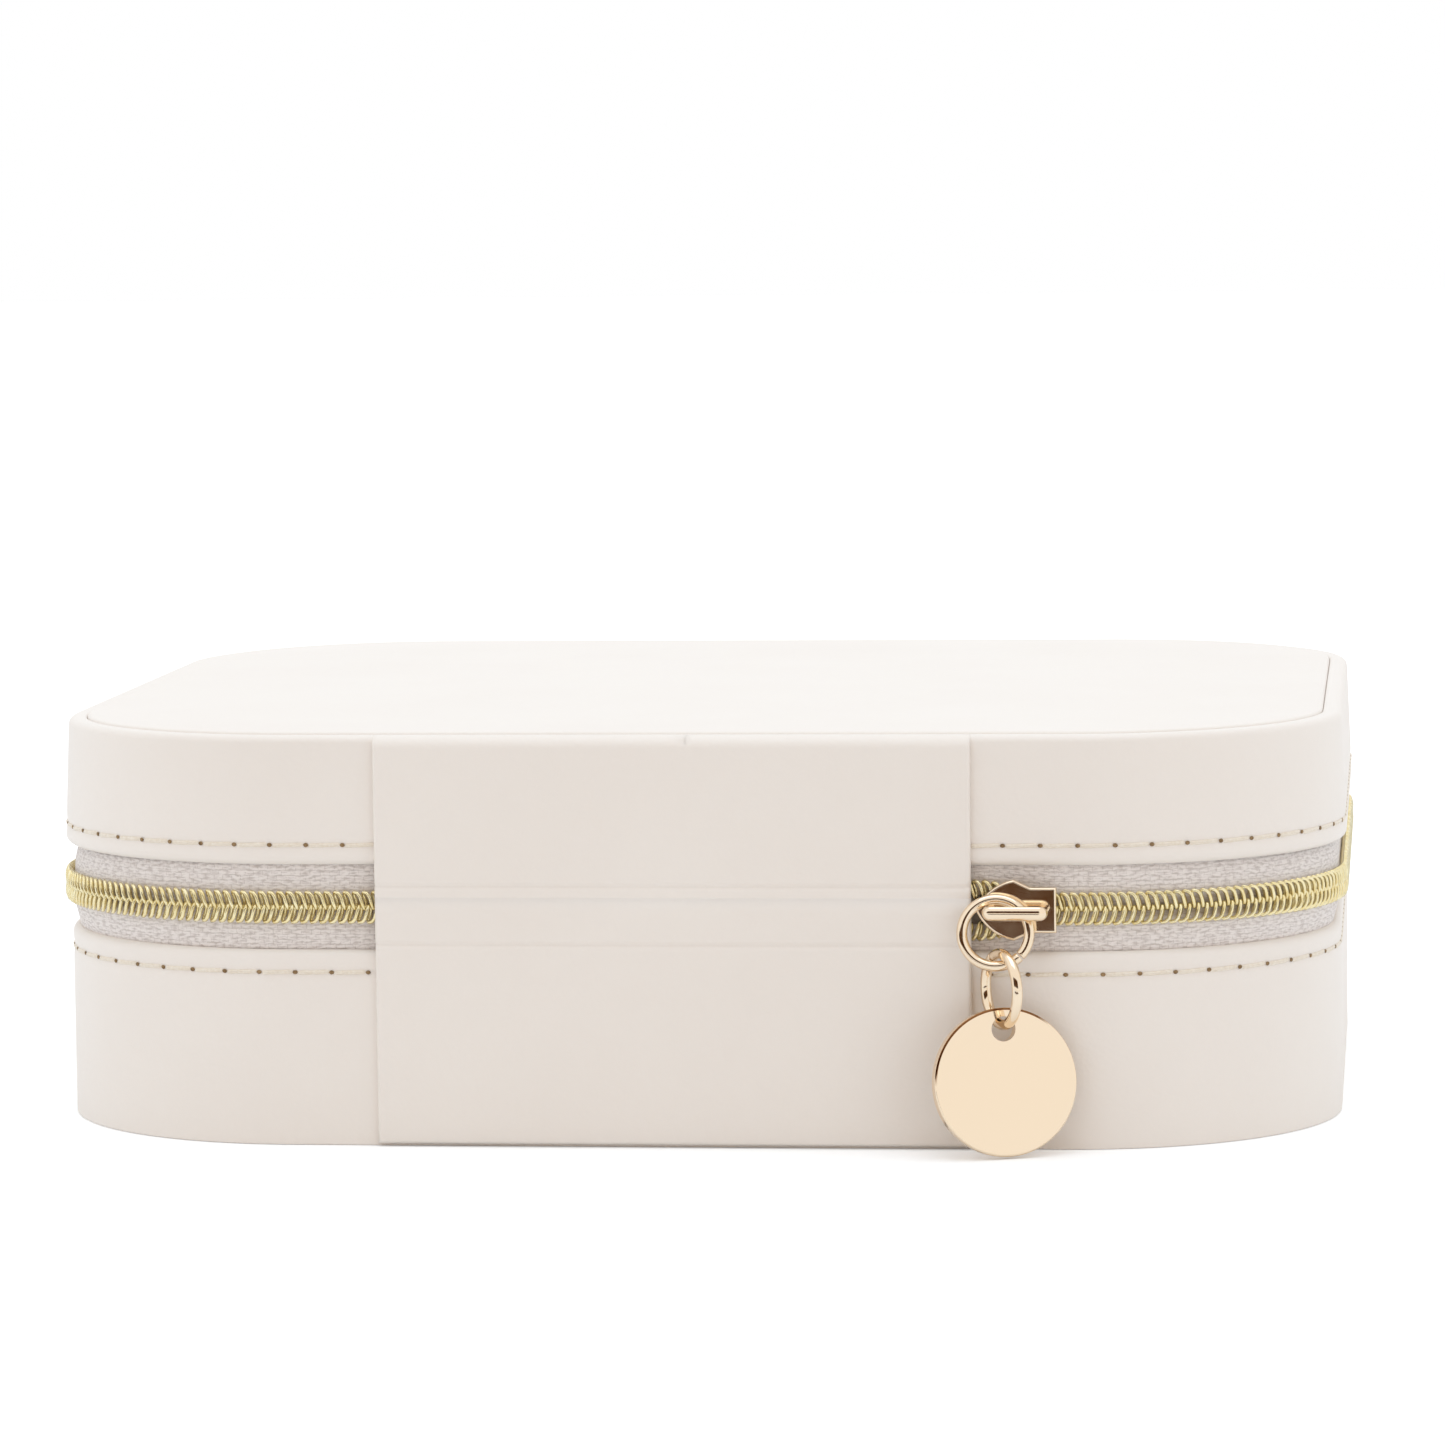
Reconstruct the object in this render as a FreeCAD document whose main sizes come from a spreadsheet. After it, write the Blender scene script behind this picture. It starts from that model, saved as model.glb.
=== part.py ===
import FreeCAD, Part
import math
import os

import Sketcher

# Zip-around jewelry box: leather over board, a coil zip between base and lid,
# a leather spine at the back, and a ring, a link and a round tag on the zip slider.
# Millimetres, +Z up, origin at the middle of the underside, spine towards +Y.

DRIVING = {
    # outer leather face
    "width": 160.0,
    "depth": 140.0,
    "corner": 33.0,
    "height": 50.0,
    "base_wall": 24.1,
    "zip_gap": 10.0,
    # leather skins
    "wrap": 1.2,
    "seat_gap": 0.05,
    "base_lift": 0.3,
    "foot_round": 0.9,
    "rim_round": 0.9,
    "hem_round": 0.35,
    "rim_width": 2.3,
    "rim_groove": 0.15,
    "panel_drop": 0.25,
    "panel_brow_rise": 0.35,
    "panel_shoulder": 1.2,
    "panel_crown": 0.4,
    "panel_slope": 14.0,
    "underside": 1.2,
    # boards and lining
    "board": 2.5,
    "wall": 5.0,
    "lining": 0.8,
    "lining_drop": 0.5,
    "parting_gap": 0.45,
    "zip_channel": 3.3,
    # zip
    "tape": 0.4,
    "tape_sewn": 6.0,
    "tape_edge": 0.9,
    "tape_tuck": 8.0,
    "chain": 4.2,
    "row_gap": 0.04,
    "tooth_pitch": 1.17,
    "tooth_depth": 0.75,
    "open_shift": 0.85,
    "flex_reach": 17.0,
    "flex_gap": 0.5,
    # spine, which leaves the slider a straight stretch of zip beside it
    "spine_side": 10.85,
    "spine_leather": 1.0,
    "spine_foot": 0.4,
    "spine_head": 0.9,
    "spine_round": 0.45,
    "fold_drop": 2.3,
    "fold_gap": 0.1,
    # lid inside
    "mirror": 2.0,
    "mirror_inset": 26.0,
    "mirror_frame": 4.0,
    "frame_rise": 0.4,
    # tray inside
    "divider": 3.0,
    "divider_height": 22.0,
    "divider_round": 0.8,
    "bay": 26.0,
    "fit_gap": 0.1,
    "roll": 13.4,
    "roll_gap": 0.3,
    "roll_crown": 0.5,
    "roll_round": 1.5,
    # slider, measured along the zip from its shoulders
    "nose_gap": 0.55,
    "nose": 4.6,
    "nose_radius": 6.3,
    "shoulder": 3.68,
    "neck": 2.0,
    "tail": 5.1,
    "tail_half": 2.74,
    "plate_gap": 0.2,
    "plate": 1.0,
    "plate_round": 0.3,
    "under_gap": 0.45,
    "under_plate": 0.75,
    "post_back": 4.0,
    "post_front": 1.0,
    "post_half": 0.7,
    "bridge_back": 3.7,
    "bridge_front": 4.25,
    "bridge_leg": 1.1,
    "bridge_leg_half": 0.45,
    "bridge_leg_round": 0.4,
    "bridge_clear": 2.5,
    "bridge_bar": 1.1,
    "bridge_half": 0.87,
    "bridge_end": 0.8,
    "bridge_round": 0.4,
    # pull: two jump rings and a round tag
    "ring": 9.4,
    "wire": 1.3,
    "ring_reach": 2.05,
    "ring_play": 0.4,
    "ring_lean": 16.0,
    "link": 9.8,
    "link_turn": 60.0,
    "link_drop": 2.7,
    "link_side": 0.75,
    "link_wall": 0.25,
    "tag": 17.8,
    "tag_plate": 1.4,
    "tag_hole": 3.0,
    "tag_margin": 1.05,
    "tag_play": 0.33,
    "tag_turn": 21.7,
    "tag_lean": 8.0,
    "tag_round": 0.25,
}

# Ring rolls that lie side by side behind the cross divider.
ROLLS = 6

# Levels and insets that follow from the driving sizes. An inset is measured
# inwards from the outer leather face, a level upwards from the underside.
DERIVED = {
    "corner_x": "width / 2 - corner",
    "corner_y": "depth / 2 - corner",
    "back": "depth / 2",
    "zip_level": "base_wall + zip_gap / 2",
    "lid_hem": "base_wall + zip_gap",
    "core_inset": "wrap + seat_gap",
    "tape_back": "core_inset + tape",
    "seat_inset": "tape_back + seat_gap",
    "lining_inset": "wall + seat_gap",
    "inner_inset": "lining_inset + lining",
    "core_floor": "underside + seat_gap",
    "board_top": "core_floor + board",
    "lining_floor": "board_top + seat_gap",
    "tray_floor": "lining_floor + lining",
    "base_edge": "zip_level - parting_gap",
    "base_lining_edge": "base_edge - lining_drop",
    "lid_edge": "zip_level + parting_gap",
    "lid_lining_edge": "lid_edge + lining_drop",
    "seat_low": "base_wall - tape_sewn - seat_gap",
    "seat_high": "lid_hem + tape_sewn + seat_gap",
    "lid_top": "height - wrap - seat_gap",
    "lid_board": "lid_top - board",
    "lid_lining_top": "lid_board - seat_gap",
    "lid_ceiling": "lid_lining_top - lining",
    "rim_under": "height - wrap",
    "panel_inset": "rim_width + rim_groove",
    "panel_brow_inset": "panel_inset + panel_shoulder",
    "panel_top_inset": "panel_inset + panel_slope",
    "panel_low": "lid_top + seat_gap",
    "panel_edge": "height - panel_drop",
    "panel_brow": "panel_edge + panel_brow_rise",
    "panel_top": "height + panel_crown",
    "tape_low": "base_wall - tape_sewn",
    "tape_low_edge": "zip_level - tape_edge",
    "tape_high_edge": "zip_level + tape_edge",
    "tape_high": "lid_hem + tape_sewn",
    "flex_top": "lid_hem - fit_gap",
    "flex_end": "spine_half + flex_reach",
    "tuck_end": "spine_half - tape_tuck",
    "spine_half": "corner_x - spine_side",
    "spine_face": "back + spine_leather",
    "spine_top": "height - spine_head",
    "fold_level": "lid_hem - fold_drop",
    "fold_low": "fold_level - fold_gap / 2",
    "fold_high": "fold_level + fold_gap / 2",
    "frame_inset": "mirror_inset - mirror_frame",
    "frame_mouth": "mirror_inset - fit_gap",
    "mirror_top": "lid_ceiling - seat_gap",
    "mirror_low": "mirror_top - mirror",
    "frame_low": "mirror_low - frame_rise",
    "divider_floor": "tray_floor + seat_gap",
    "divider_top": "divider_floor + divider_height",
    "divider_half": "divider / 2",
    "bay_inner": "bay - divider / 2",
    "bay_outer": "bay + divider / 2",
    "cross_half": "bay_inner - fit_gap",
    "roll_half": "bay_inner - fit_gap",
    "roll_end": "roll / 2 - roll_crown",
    "roll_bow": "(roll_half ^ 2 + roll_crown ^ 2) / (2 * roll_crown)",
    "tray_back": "depth / 2 - inner_inset",
    "divider_end": "tray_back - fit_gap",
    "slider_x": "spine_half + nose_gap + nose",
    "slider_end": "slider_x + tail",
    "plate_top": "plate_gap + plate",
    "under_top": "tape_back + under_gap",
    "under_low": "under_top + under_plate",
    "bridge_inner_back": "bridge_back - bridge_leg",
    "bridge_inner_front": "bridge_front - bridge_leg",
    "bar_low": "plate_top + bridge_clear",
    "bar_top": "bar_low + bridge_bar",
    "ring_mean": "(ring - wire) / 2",
    "link_mean": "(link - wire) / 2",
    "tag_hole_up": "tag / 2 - tag_margin - tag_hole / 2",
}

doc = FreeCAD.newDocument("JewelryBox")
sheet = doc.addObject("Spreadsheet::Sheet", "dims")
CELLS = [(name, str(value)) for name, value in DRIVING.items()]
CELLS += [(name, "=" + formula) for name, formula in DERIVED.items()]
for row, (name, content) in enumerate(CELLS, start=1):
    sheet.set(f"A{row}", name)
    sheet.set(f"B{row}", content)
    sheet.setAlias(f"B{row}", name)
doc.recompute()

parts = []


def size(name):
    """Value of a named cell, negative with a leading minus."""
    value = float(getattr(sheet, name.lstrip("-")))
    return -value if name.startswith("-") else value


def keep(item, label):
    """Name a finished sub-part and list it for export."""
    item.Label = label
    parts.append(item)
    return item


def new_body(label):
    return keep(doc.addObject("PartDesign::Body", label), label)


def new_sketch(body, level=None):
    """Sketch on the body's own XY plane, raised to a level given as a sheet formula."""
    sketch = body.newObject("Sketcher::SketchObject", body.Name + "_sketch")
    support = next(item for item in body.Origin.OriginFeatures if item.Role == "XY_Plane")
    sketch.AttachmentSupport = (support, [""])
    sketch.MapMode = "FlatFace"
    if level:
        sketch.setExpression("AttachmentOffset.Base.z", level)
    return sketch


def bind(sketch, constraint, formula):
    """Add a dimension and tie it to the sheet."""
    index = sketch.addConstraint(constraint)
    sketch.renameConstraint(index, f"size_{index}")
    sketch.setExpression(f"Constraints.size_{index}", formula)


def place(sketch, geometry, end, axis, name):
    """Hold a point at a named distance from the origin."""
    ends = (geometry, end, -1, 1) if name.startswith("-") else (-1, 1, geometry, end)
    alias = name.lstrip("-")
    bind(sketch, Sketcher.Constraint("Distance" + axis, *ends, size(alias)), "dims." + alias)


def add_outline(sketch, inset=None):
    """Rounded rectangle of the box at an inset: four arcs joined by four lines."""
    cx, cy = size("corner_x"), size("corner_y")
    radius = size("corner") - (size(inset) if inset else 0.0)
    arcs = []
    for turn, (sx, sy) in enumerate(((1, 1), (-1, 1), (-1, -1), (1, -1))):
        circle = Part.Circle(FreeCAD.Vector(sx * cx, sy * cy), FreeCAD.Vector(0, 0, 1), radius)
        start = turn * math.pi / 2
        arcs.append(sketch.addGeometry(Part.ArcOfCircle(circle, start, start + math.pi / 2)))
    for this, following in zip(arcs, arcs[1:] + arcs[:1]):
        run = Part.LineSegment(sketch.getPoint(this, 2), sketch.getPoint(following, 1))
        line = sketch.addGeometry(run)
        sketch.addConstraint(Sketcher.Constraint("Tangent", this, 2, line, 1))
        sketch.addConstraint(Sketcher.Constraint("Tangent", line, 2, following, 1))
    for arc in arcs[1:]:
        sketch.addConstraint(Sketcher.Constraint("Equal", arcs[0], arc))
    place(sketch, arcs[0], 3, "X", "corner_x")
    place(sketch, arcs[0], 3, "Y", "corner_y")
    sketch.addConstraint(Sketcher.Constraint("Symmetric", arcs[0], 3, arcs[1], 3, -2))
    sketch.addConstraint(Sketcher.Constraint("Symmetric", arcs[1], 3, arcs[2], 3, -1))
    sketch.addConstraint(Sketcher.Constraint("Symmetric", arcs[0], 3, arcs[3], 3, -1))
    formula = f"dims.corner - dims.{inset}" if inset else "dims.corner"
    bind(sketch, Sketcher.Constraint("Radius", arcs[0], radius), formula)


def add_rectangle(sketch, left, right, bottom, top):
    """Rectangle whose sides are named distances from the origin."""
    corners = [(left, bottom), (right, bottom), (right, top), (left, top)]
    spots = [FreeCAD.Vector(size(x), size(y)) for x, y in corners]
    lines = [sketch.addGeometry(Part.LineSegment(a, b)) for a, b in zip(spots, spots[1:] + spots[:1])]
    for this, following in zip(lines, lines[1:] + lines[:1]):
        sketch.addConstraint(Sketcher.Constraint("Coincident", this, 2, following, 1))
    for line, direction in zip(lines, ("Horizontal", "Vertical", "Horizontal", "Vertical")):
        sketch.addConstraint(Sketcher.Constraint(direction, line))
    place(sketch, lines[0], 1, "X", left)
    place(sketch, lines[0], 1, "Y", bottom)
    place(sketch, lines[2], 1, "X", right)
    place(sketch, lines[2], 1, "Y", top)


def pad(body, sketch, length, midplane=False):
    feature = body.newObject("PartDesign::Pad", body.Name + "_pad")
    feature.Profile = sketch
    feature.Midplane = midplane
    feature.setExpression("Length", length)
    return feature


def pocket(body, sketch, length):
    """Cut from the sketch plane against its normal."""
    feature = body.newObject("PartDesign::Pocket", body.Name + "_pocket")
    feature.Profile = sketch
    feature.setExpression("Length", length)
    return feature


def layer(body, low, high, *insets):
    """Plate of the box outline between two levels, or a ring when two insets are given."""
    sketch = new_sketch(body, level="dims." + low)
    for inset in insets:
        add_outline(sketch, inset)
    return pad(body, sketch, f"dims.{high} - dims.{low}")


def hollow(body, low, high, inset):
    """Well of the box outline, cut down from one level to another."""
    sketch = new_sketch(body, level="dims." + high)
    add_outline(sketch, inset)
    return pocket(body, sketch, f"dims.{high} - dims.{low}")


def round_edges(body, radius, wanted):
    """Fillet the edges of a body's tip that a test on the edge and its middle point picks out."""
    doc.recompute()
    base = body.Tip
    names = []
    for number, edge in enumerate(base.Shape.Edges, start=1):
        middle = edge.valueAt((edge.FirstParameter + edge.LastParameter) / 2)
        if wanted(edge, middle):
            names.append(f"Edge{number}")
    fillet = body.newObject("PartDesign::Fillet", body.Name + "_round")
    fillet.Base = (base, names)
    fillet.setExpression("Radius", "dims." + radius)
    return fillet


def depth_inside(point):
    """Distance of a point inside the outer leather face, seen from above."""
    qx = abs(point.x) - size("corner_x")
    qy = abs(point.y) - size("corner_y")
    beyond = math.hypot(max(qx, 0.0), max(qy, 0.0)) + min(max(qx, qy), 0.0)
    return size("corner") - beyond


def is_level(edge, height):
    return edge.BoundBox.ZLength < 1e-6 and abs(edge.BoundBox.ZMin - height) < 1e-6


def rim_test(level, inset=None):
    """Picks the edges that run all round the box at a level and an inset."""
    wanted_depth = size(inset) if inset else 0.0

    def wanted(edge, middle):
        return is_level(edge, size(level)) and abs(depth_inside(middle) - wanted_depth) < 1e-4
    return wanted


def block(name, low, high):
    """Cutting box between two corners, each given as three sheet formulas."""
    box = doc.addObject("Part::Box", name)
    for side, axis, start, end in zip(("Length", "Width", "Height"), "xyz", low, high):
        box.setExpression(side, f"({end}) - ({start})")
        box.setExpression("Placement.Base." + axis, start)
    return box


def combine(kind, label, base, tool):
    """Sub-part made by a boolean of two shapes."""
    feature = doc.addObject("Part::" + kind, label)
    feature.Base = base
    feature.Tool = tool
    return keep(feature, label)


def facing(normal):
    """Rotation that turns local Z to a direction and keeps local Y as upright as it can be."""
    across = FreeCAD.Vector(0, 0, 1).cross(normal).normalize()
    return FreeCAD.Rotation(across, normal.cross(across), normal, "ZXY")


# Base: board tray, stepped back at its rim for the sewn tape and the slider's under plate
base_core = new_body("base_core")
layer(base_core, "core_floor", "seat_low", "core_inset")
layer(base_core, "seat_low", "base_wall", "seat_inset")
layer(base_core, "base_wall", "base_edge", "zip_channel")
hollow(base_core, "board_top", "base_edge", "wall")

# Leather round the base, folded at the hem and turned in at the foot
base_wrap = new_body("base_wrap")
layer(base_wrap, "base_lift", "base_wall", None, "wrap")
round_edges(base_wrap, "foot_round", rim_test("base_lift"))
round_edges(base_wrap, "hem_round", rim_test("base_wall"))

base_underside = new_body("base_underside")
sole = new_sketch(base_underside)
add_outline(sole, "core_inset")
pad(base_underside, sole, "dims.underside")

base_lining = new_body("base_lining")
layer(base_lining, "lining_floor", "base_lining_edge", "lining_inset")
hollow(base_lining, "tray_floor", "base_lining_edge", "inner_inset")

# Lid: the same board section upside down
lid_core = new_body("lid_core")
layer(lid_core, "lid_edge", "lid_hem", "zip_channel")
layer(lid_core, "lid_hem", "seat_high", "seat_inset")
layer(lid_core, "seat_high", "lid_top", "core_inset")
hollow(lid_core, "lid_edge", "lid_board", "wall")

# Leather round the lid, turned over the top edge as a narrow rim
lid_wrap = new_body("lid_wrap")
layer(lid_wrap, "lid_hem", "height", None, "wrap")
layer(lid_wrap, "rim_under", "height", None, "rim_width")
round_edges(lid_wrap, "rim_round", rim_test("height"))
round_edges(lid_wrap, "hem_round", rim_test("height", "rim_width"))
round_edges(lid_wrap, "hem_round", rim_test("lid_hem"))

# Padded panel let into the rim, with a low crown and a soft shoulder
lid_panel = new_body("lid_panel")
sections = []
for level, inset in (
    ("panel_low", "panel_inset"),
    ("panel_edge", "panel_inset"),
    ("panel_brow", "panel_brow_inset"),
    ("panel_top", "panel_top_inset"),
):
    sections.append(new_sketch(lid_panel, level="dims." + level))
    add_outline(sections[-1], inset)
crown = lid_panel.newObject("PartDesign::AdditiveLoft", "lid_panel_loft")
crown.Profile = sections[0]
crown.Sections = sections[1:]
crown.Ruled = True

lid_lining = new_body("lid_lining")
layer(lid_lining, "lid_lining_edge", "lid_lining_top", "lining_inset")
hollow(lid_lining, "lid_lining_edge", "lid_ceiling", "inner_inset")

lid_mirror = new_body("lid_mirror")
layer(lid_mirror, "mirror_low", "mirror_top", "mirror_inset")

mirror_frame = new_body("mirror_frame")
layer(mirror_frame, "frame_low", "mirror_top", "frame_inset", "frame_mouth")

# Dividers: two from front to back and one across between them
for label, left, right in (
    ("divider_left", "-bay_outer", "-bay_inner"),
    ("divider_right", "bay_inner", "bay_outer"),
    ("divider_cross", "-cross_half", "cross_half"),
):
    divider = new_body(label)
    footprint = new_sketch(divider, level="dims.divider_floor")
    if label == "divider_cross":
        add_rectangle(footprint, left, right, "-divider_half", "divider_half")
        rolls_deep = f"{ROLLS} * (dims.roll + dims.roll_gap) + dims.roll_gap"
        divider.setExpression("Placement.Base.y", f"dims.tray_back - ({rolls_deep}) - dims.divider_half")
    else:
        add_rectangle(footprint, left, right, "-divider_end", "divider_end")
    pad(divider, footprint, "dims.divider_height")
    long_side = "x" if label == "divider_cross" else "y"
    round_edges(
        divider,
        "divider_round",
        lambda edge, middle: is_level(edge, size("divider_top"))
        and abs(getattr(edge.tangentAt(edge.FirstParameter), long_side)) > 0.9,
    )


def add_roll_profile(sketch):
    """Half section of a ring roll: drawn-in ends and a bowed side, above its own axis."""
    half, end, bow = size("roll_half"), size("roll_end"), size("roll_bow")
    centre = FreeCAD.Vector(0, size("roll") / 2 - bow)
    lean = math.asin(half / bow)
    side = Part.ArcOfCircle(
        Part.Circle(centre, FreeCAD.Vector(0, 0, 1), bow), math.pi / 2 - lean, math.pi / 2 + lean
    )
    left, left_top = FreeCAD.Vector(-half, 0), FreeCAD.Vector(-half, end)
    right, right_top = FreeCAD.Vector(half, 0), FreeCAD.Vector(half, end)
    axis = sketch.addGeometry(Part.LineSegment(left, right))
    right_face = sketch.addGeometry(Part.LineSegment(right, right_top))
    arc = sketch.addGeometry(side)
    left_face = sketch.addGeometry(Part.LineSegment(left_top, left))
    for first, first_end, second, second_end in (
        (axis, 2, right_face, 1),
        (right_face, 2, arc, 1),
        (arc, 2, left_face, 1),
        (left_face, 2, axis, 1),
    ):
        sketch.addConstraint(Sketcher.Constraint("Coincident", first, first_end, second, second_end))
    sketch.addConstraint(Sketcher.Constraint("PointOnObject", axis, 1, -1))
    sketch.addConstraint(Sketcher.Constraint("PointOnObject", axis, 2, -1))
    place(sketch, axis, 1, "X", "-roll_half")
    place(sketch, axis, 2, "X", "roll_half")
    for face, face_end in ((right_face, 2), (left_face, 1)):
        place(sketch, face, face_end, "Y", "roll_end")
    sketch.addConstraint(Sketcher.Constraint("Vertical", right_face))
    sketch.addConstraint(Sketcher.Constraint("Vertical", left_face))
    bind(sketch, Sketcher.Constraint("Radius", arc, bow), "dims.roll_bow")


# Ring rolls: soft bolsters side by side across the middle bay
for number in range(ROLLS):
    roll = new_body(f"ring_roll_{number + 1}")
    half_section = new_sketch(roll)
    add_roll_profile(half_section)
    turned = roll.newObject("PartDesign::Revolution", roll.Name + "_turned")
    turned.Profile = half_section
    turned.ReferenceAxis = (half_section, ["H_Axis"])
    turned.Angle = 360
    round_edges(
        roll,
        "roll_round",
        lambda edge, middle: edge.BoundBox.XLength < 1e-6 and edge.BoundBox.ZLength > size("roll_end"),
    )
    step = f"{number} * (dims.roll + dims.roll_gap) + dims.roll_gap + dims.roll / 2"
    roll.setExpression("Placement.Base.y", f"dims.tray_back - ({step})")
    roll.setExpression("Placement.Base.z", "dims.divider_floor + dims.roll / 2")


def tape_ring(name, low, high):
    """Band of zip tape that runs all round, before its ends are cut."""
    ring = doc.addObject("PartDesign::Body", name)
    layer(ring, low, high, "core_inset", "tape_back")
    return ring


def back_block(name, start, end):
    """Box over the back wall between two places across it."""
    return block(name, (start, "0", "0"), (end, "dims.depth", "dims.height"))


# Zip tape: each band ends under the spine, and the upper one bends beside it, where the lid turns
tape_lower = tape_ring("tape_lower", "tape_low", "tape_low_edge")
tape_upper = tape_ring("tape_upper", "tape_high_edge", "tape_high")
tape_flex = tape_ring("tape_flex", "tape_high_edge", "flex_top")
lid_clear = "(dims.flex_end + dims.flex_gap)"
combine("Cut", "zip_tape_lower", tape_lower, back_block("under_spine", "-dims.tuck_end", "dims.tuck_end"))
combine("Cut", "zip_tape_upper", tape_upper, back_block("bend_zone", "-" + lid_clear, lid_clear))
for label, start, end in (
    ("zip_tape_flex_left", "dims.tuck_end", "dims.flex_end"),
    ("zip_tape_flex_right", "-dims.flex_end", "-dims.tuck_end"),
):
    combine("Common", label, tape_flex, back_block(label + "_zone", start, end))


def along_zip(distance):
    """Corner-centre point and outward angle at a distance round the zip from the back's middle."""
    turn_length = size("corner") * math.pi / 2
    angle = math.pi / 2
    centre = FreeCAD.Vector(0, size("corner_y"), 0)
    half_x, half_y = size("corner_x"), size("corner_y")
    for run in (half_x, 2 * half_y, 2 * half_x, 2 * half_y, half_x):
        step = min(distance, run)
        centre += FreeCAD.Vector(-math.sin(angle), math.cos(angle), 0) * step
        distance -= step
        bend = min(distance, turn_length)
        angle += math.pi / 2 * bend / turn_length
        distance -= bend
    return centre, angle


def zip_length():
    straight = 4 * (size("corner_x") + size("corner_y"))
    return straight + 2 * math.pi * size("corner")


def zip_distance(x):
    """Distance round the zip of a place on the back, in its straight run or the corner after it."""
    over = x - size("corner_x")
    if over <= 0:
        return x
    return size("corner_x") + size("corner") * math.asin(over / size("corner"))


def zip_point(distance, inset):
    centre, angle = along_zip(distance)
    reach = size("corner") - inset
    return centre + FreeCAD.Vector(math.cos(angle), math.sin(angle), 0) * reach


def tooth_row(label, start, end, low, high):
    """Row of zip teeth: ridges on the outside, a smooth back that follows the tape."""
    count = max(1, round((end - start) / size("tooth_pitch")))
    pitch = (end - start) / count
    rows = []
    for number in range(count):
        rows.append(zip_point(start + number * pitch, size("tooth_depth")))
        rows.append(zip_point(start + (number + 0.5) * pitch, 0.0))
    rows.append(zip_point(end, size("tooth_depth")))
    marks = [start + pitch * step for step in range(0, count, 2)] + [end]
    angles = [along_zip(mark)[1] for mark in marks]
    smooth = [zip_point(start, size("wrap"))]
    for before, mark, angle, after in zip(angles, marks[1:], angles[1:], angles[2:]):
        if before != angle or angle != after:
            smooth.append(zip_point(mark, size("wrap")))
    smooth.append(zip_point(end, size("wrap")))
    outline = rows + smooth[::-1]
    row = doc.addObject("Part::Feature", label)
    face = Part.Face(Part.makePolygon(outline + outline[:1]))
    row.Shape = face.extrude(FreeCAD.Vector(0, 0, high - low))
    row.Placement = FreeCAD.Placement(FreeCAD.Vector(0, 0, low), FreeCAD.Rotation())
    return keep(row, label)


# Zip chain: rows meet at the zip's middle, and stand apart between the slider and the spine
chain_low = size("zip_level") - size("chain") / 2
chain_high = size("zip_level") + size("chain") / 2
row_top = size("zip_level") - size("row_gap") / 2
row_bottom = size("zip_level") + size("row_gap") / 2
spread = size("open_shift")
first_tooth = size("spine_half") + size("fit_gap")
last_tooth = zip_length() - first_tooth
closed_start = zip_distance(size("slider_end"))
lid_start = zip_distance(size("flex_end") + size("flex_gap"))
flex_stop = zip_distance(size("flex_end"))
tooth_row("zip_teeth_lower", closed_start, last_tooth, chain_low, row_top)
tooth_row("zip_teeth_upper", lid_start, zip_length() - lid_start, row_bottom, chain_high)
tooth_row("zip_teeth_flex_left", zip_length() - flex_stop, last_tooth, row_bottom, chain_high)
tooth_row("zip_teeth_flex_right", closed_start, flex_stop, row_bottom, chain_high)
open_end = closed_start - size("fit_gap")
tooth_row("zip_teeth_open_lower", first_tooth, open_end, chain_low - spread, row_top - spread)
tooth_row("zip_teeth_open_upper", first_tooth, open_end, row_bottom + spread, chain_high + spread)

# Spine: one leather panel over the back, folded where the lid turns
for label, low, high in (
    ("spine_lower", "spine_foot", "fold_low"),
    ("spine_upper", "fold_high", "spine_top"),
):
    spine = new_body(label)
    footprint = new_sketch(spine, level="dims." + low)
    add_rectangle(footprint, "-spine_half", "spine_half", "back", "spine_face")
    pad(spine, footprint, f"dims.{high} - dims.{low}")
    round_edges(
        spine,
        "spine_round",
        lambda edge, middle: edge.BoundBox.ZLength > 1.0 and abs(middle.y - size("spine_face")) < 1e-6,
    )

slider_frame = FreeCAD.Placement(
    FreeCAD.Vector(-size("slider_x"), size("back"), size("zip_level")),
    facing(FreeCAD.Vector(0, 1, 0)),
)


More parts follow.
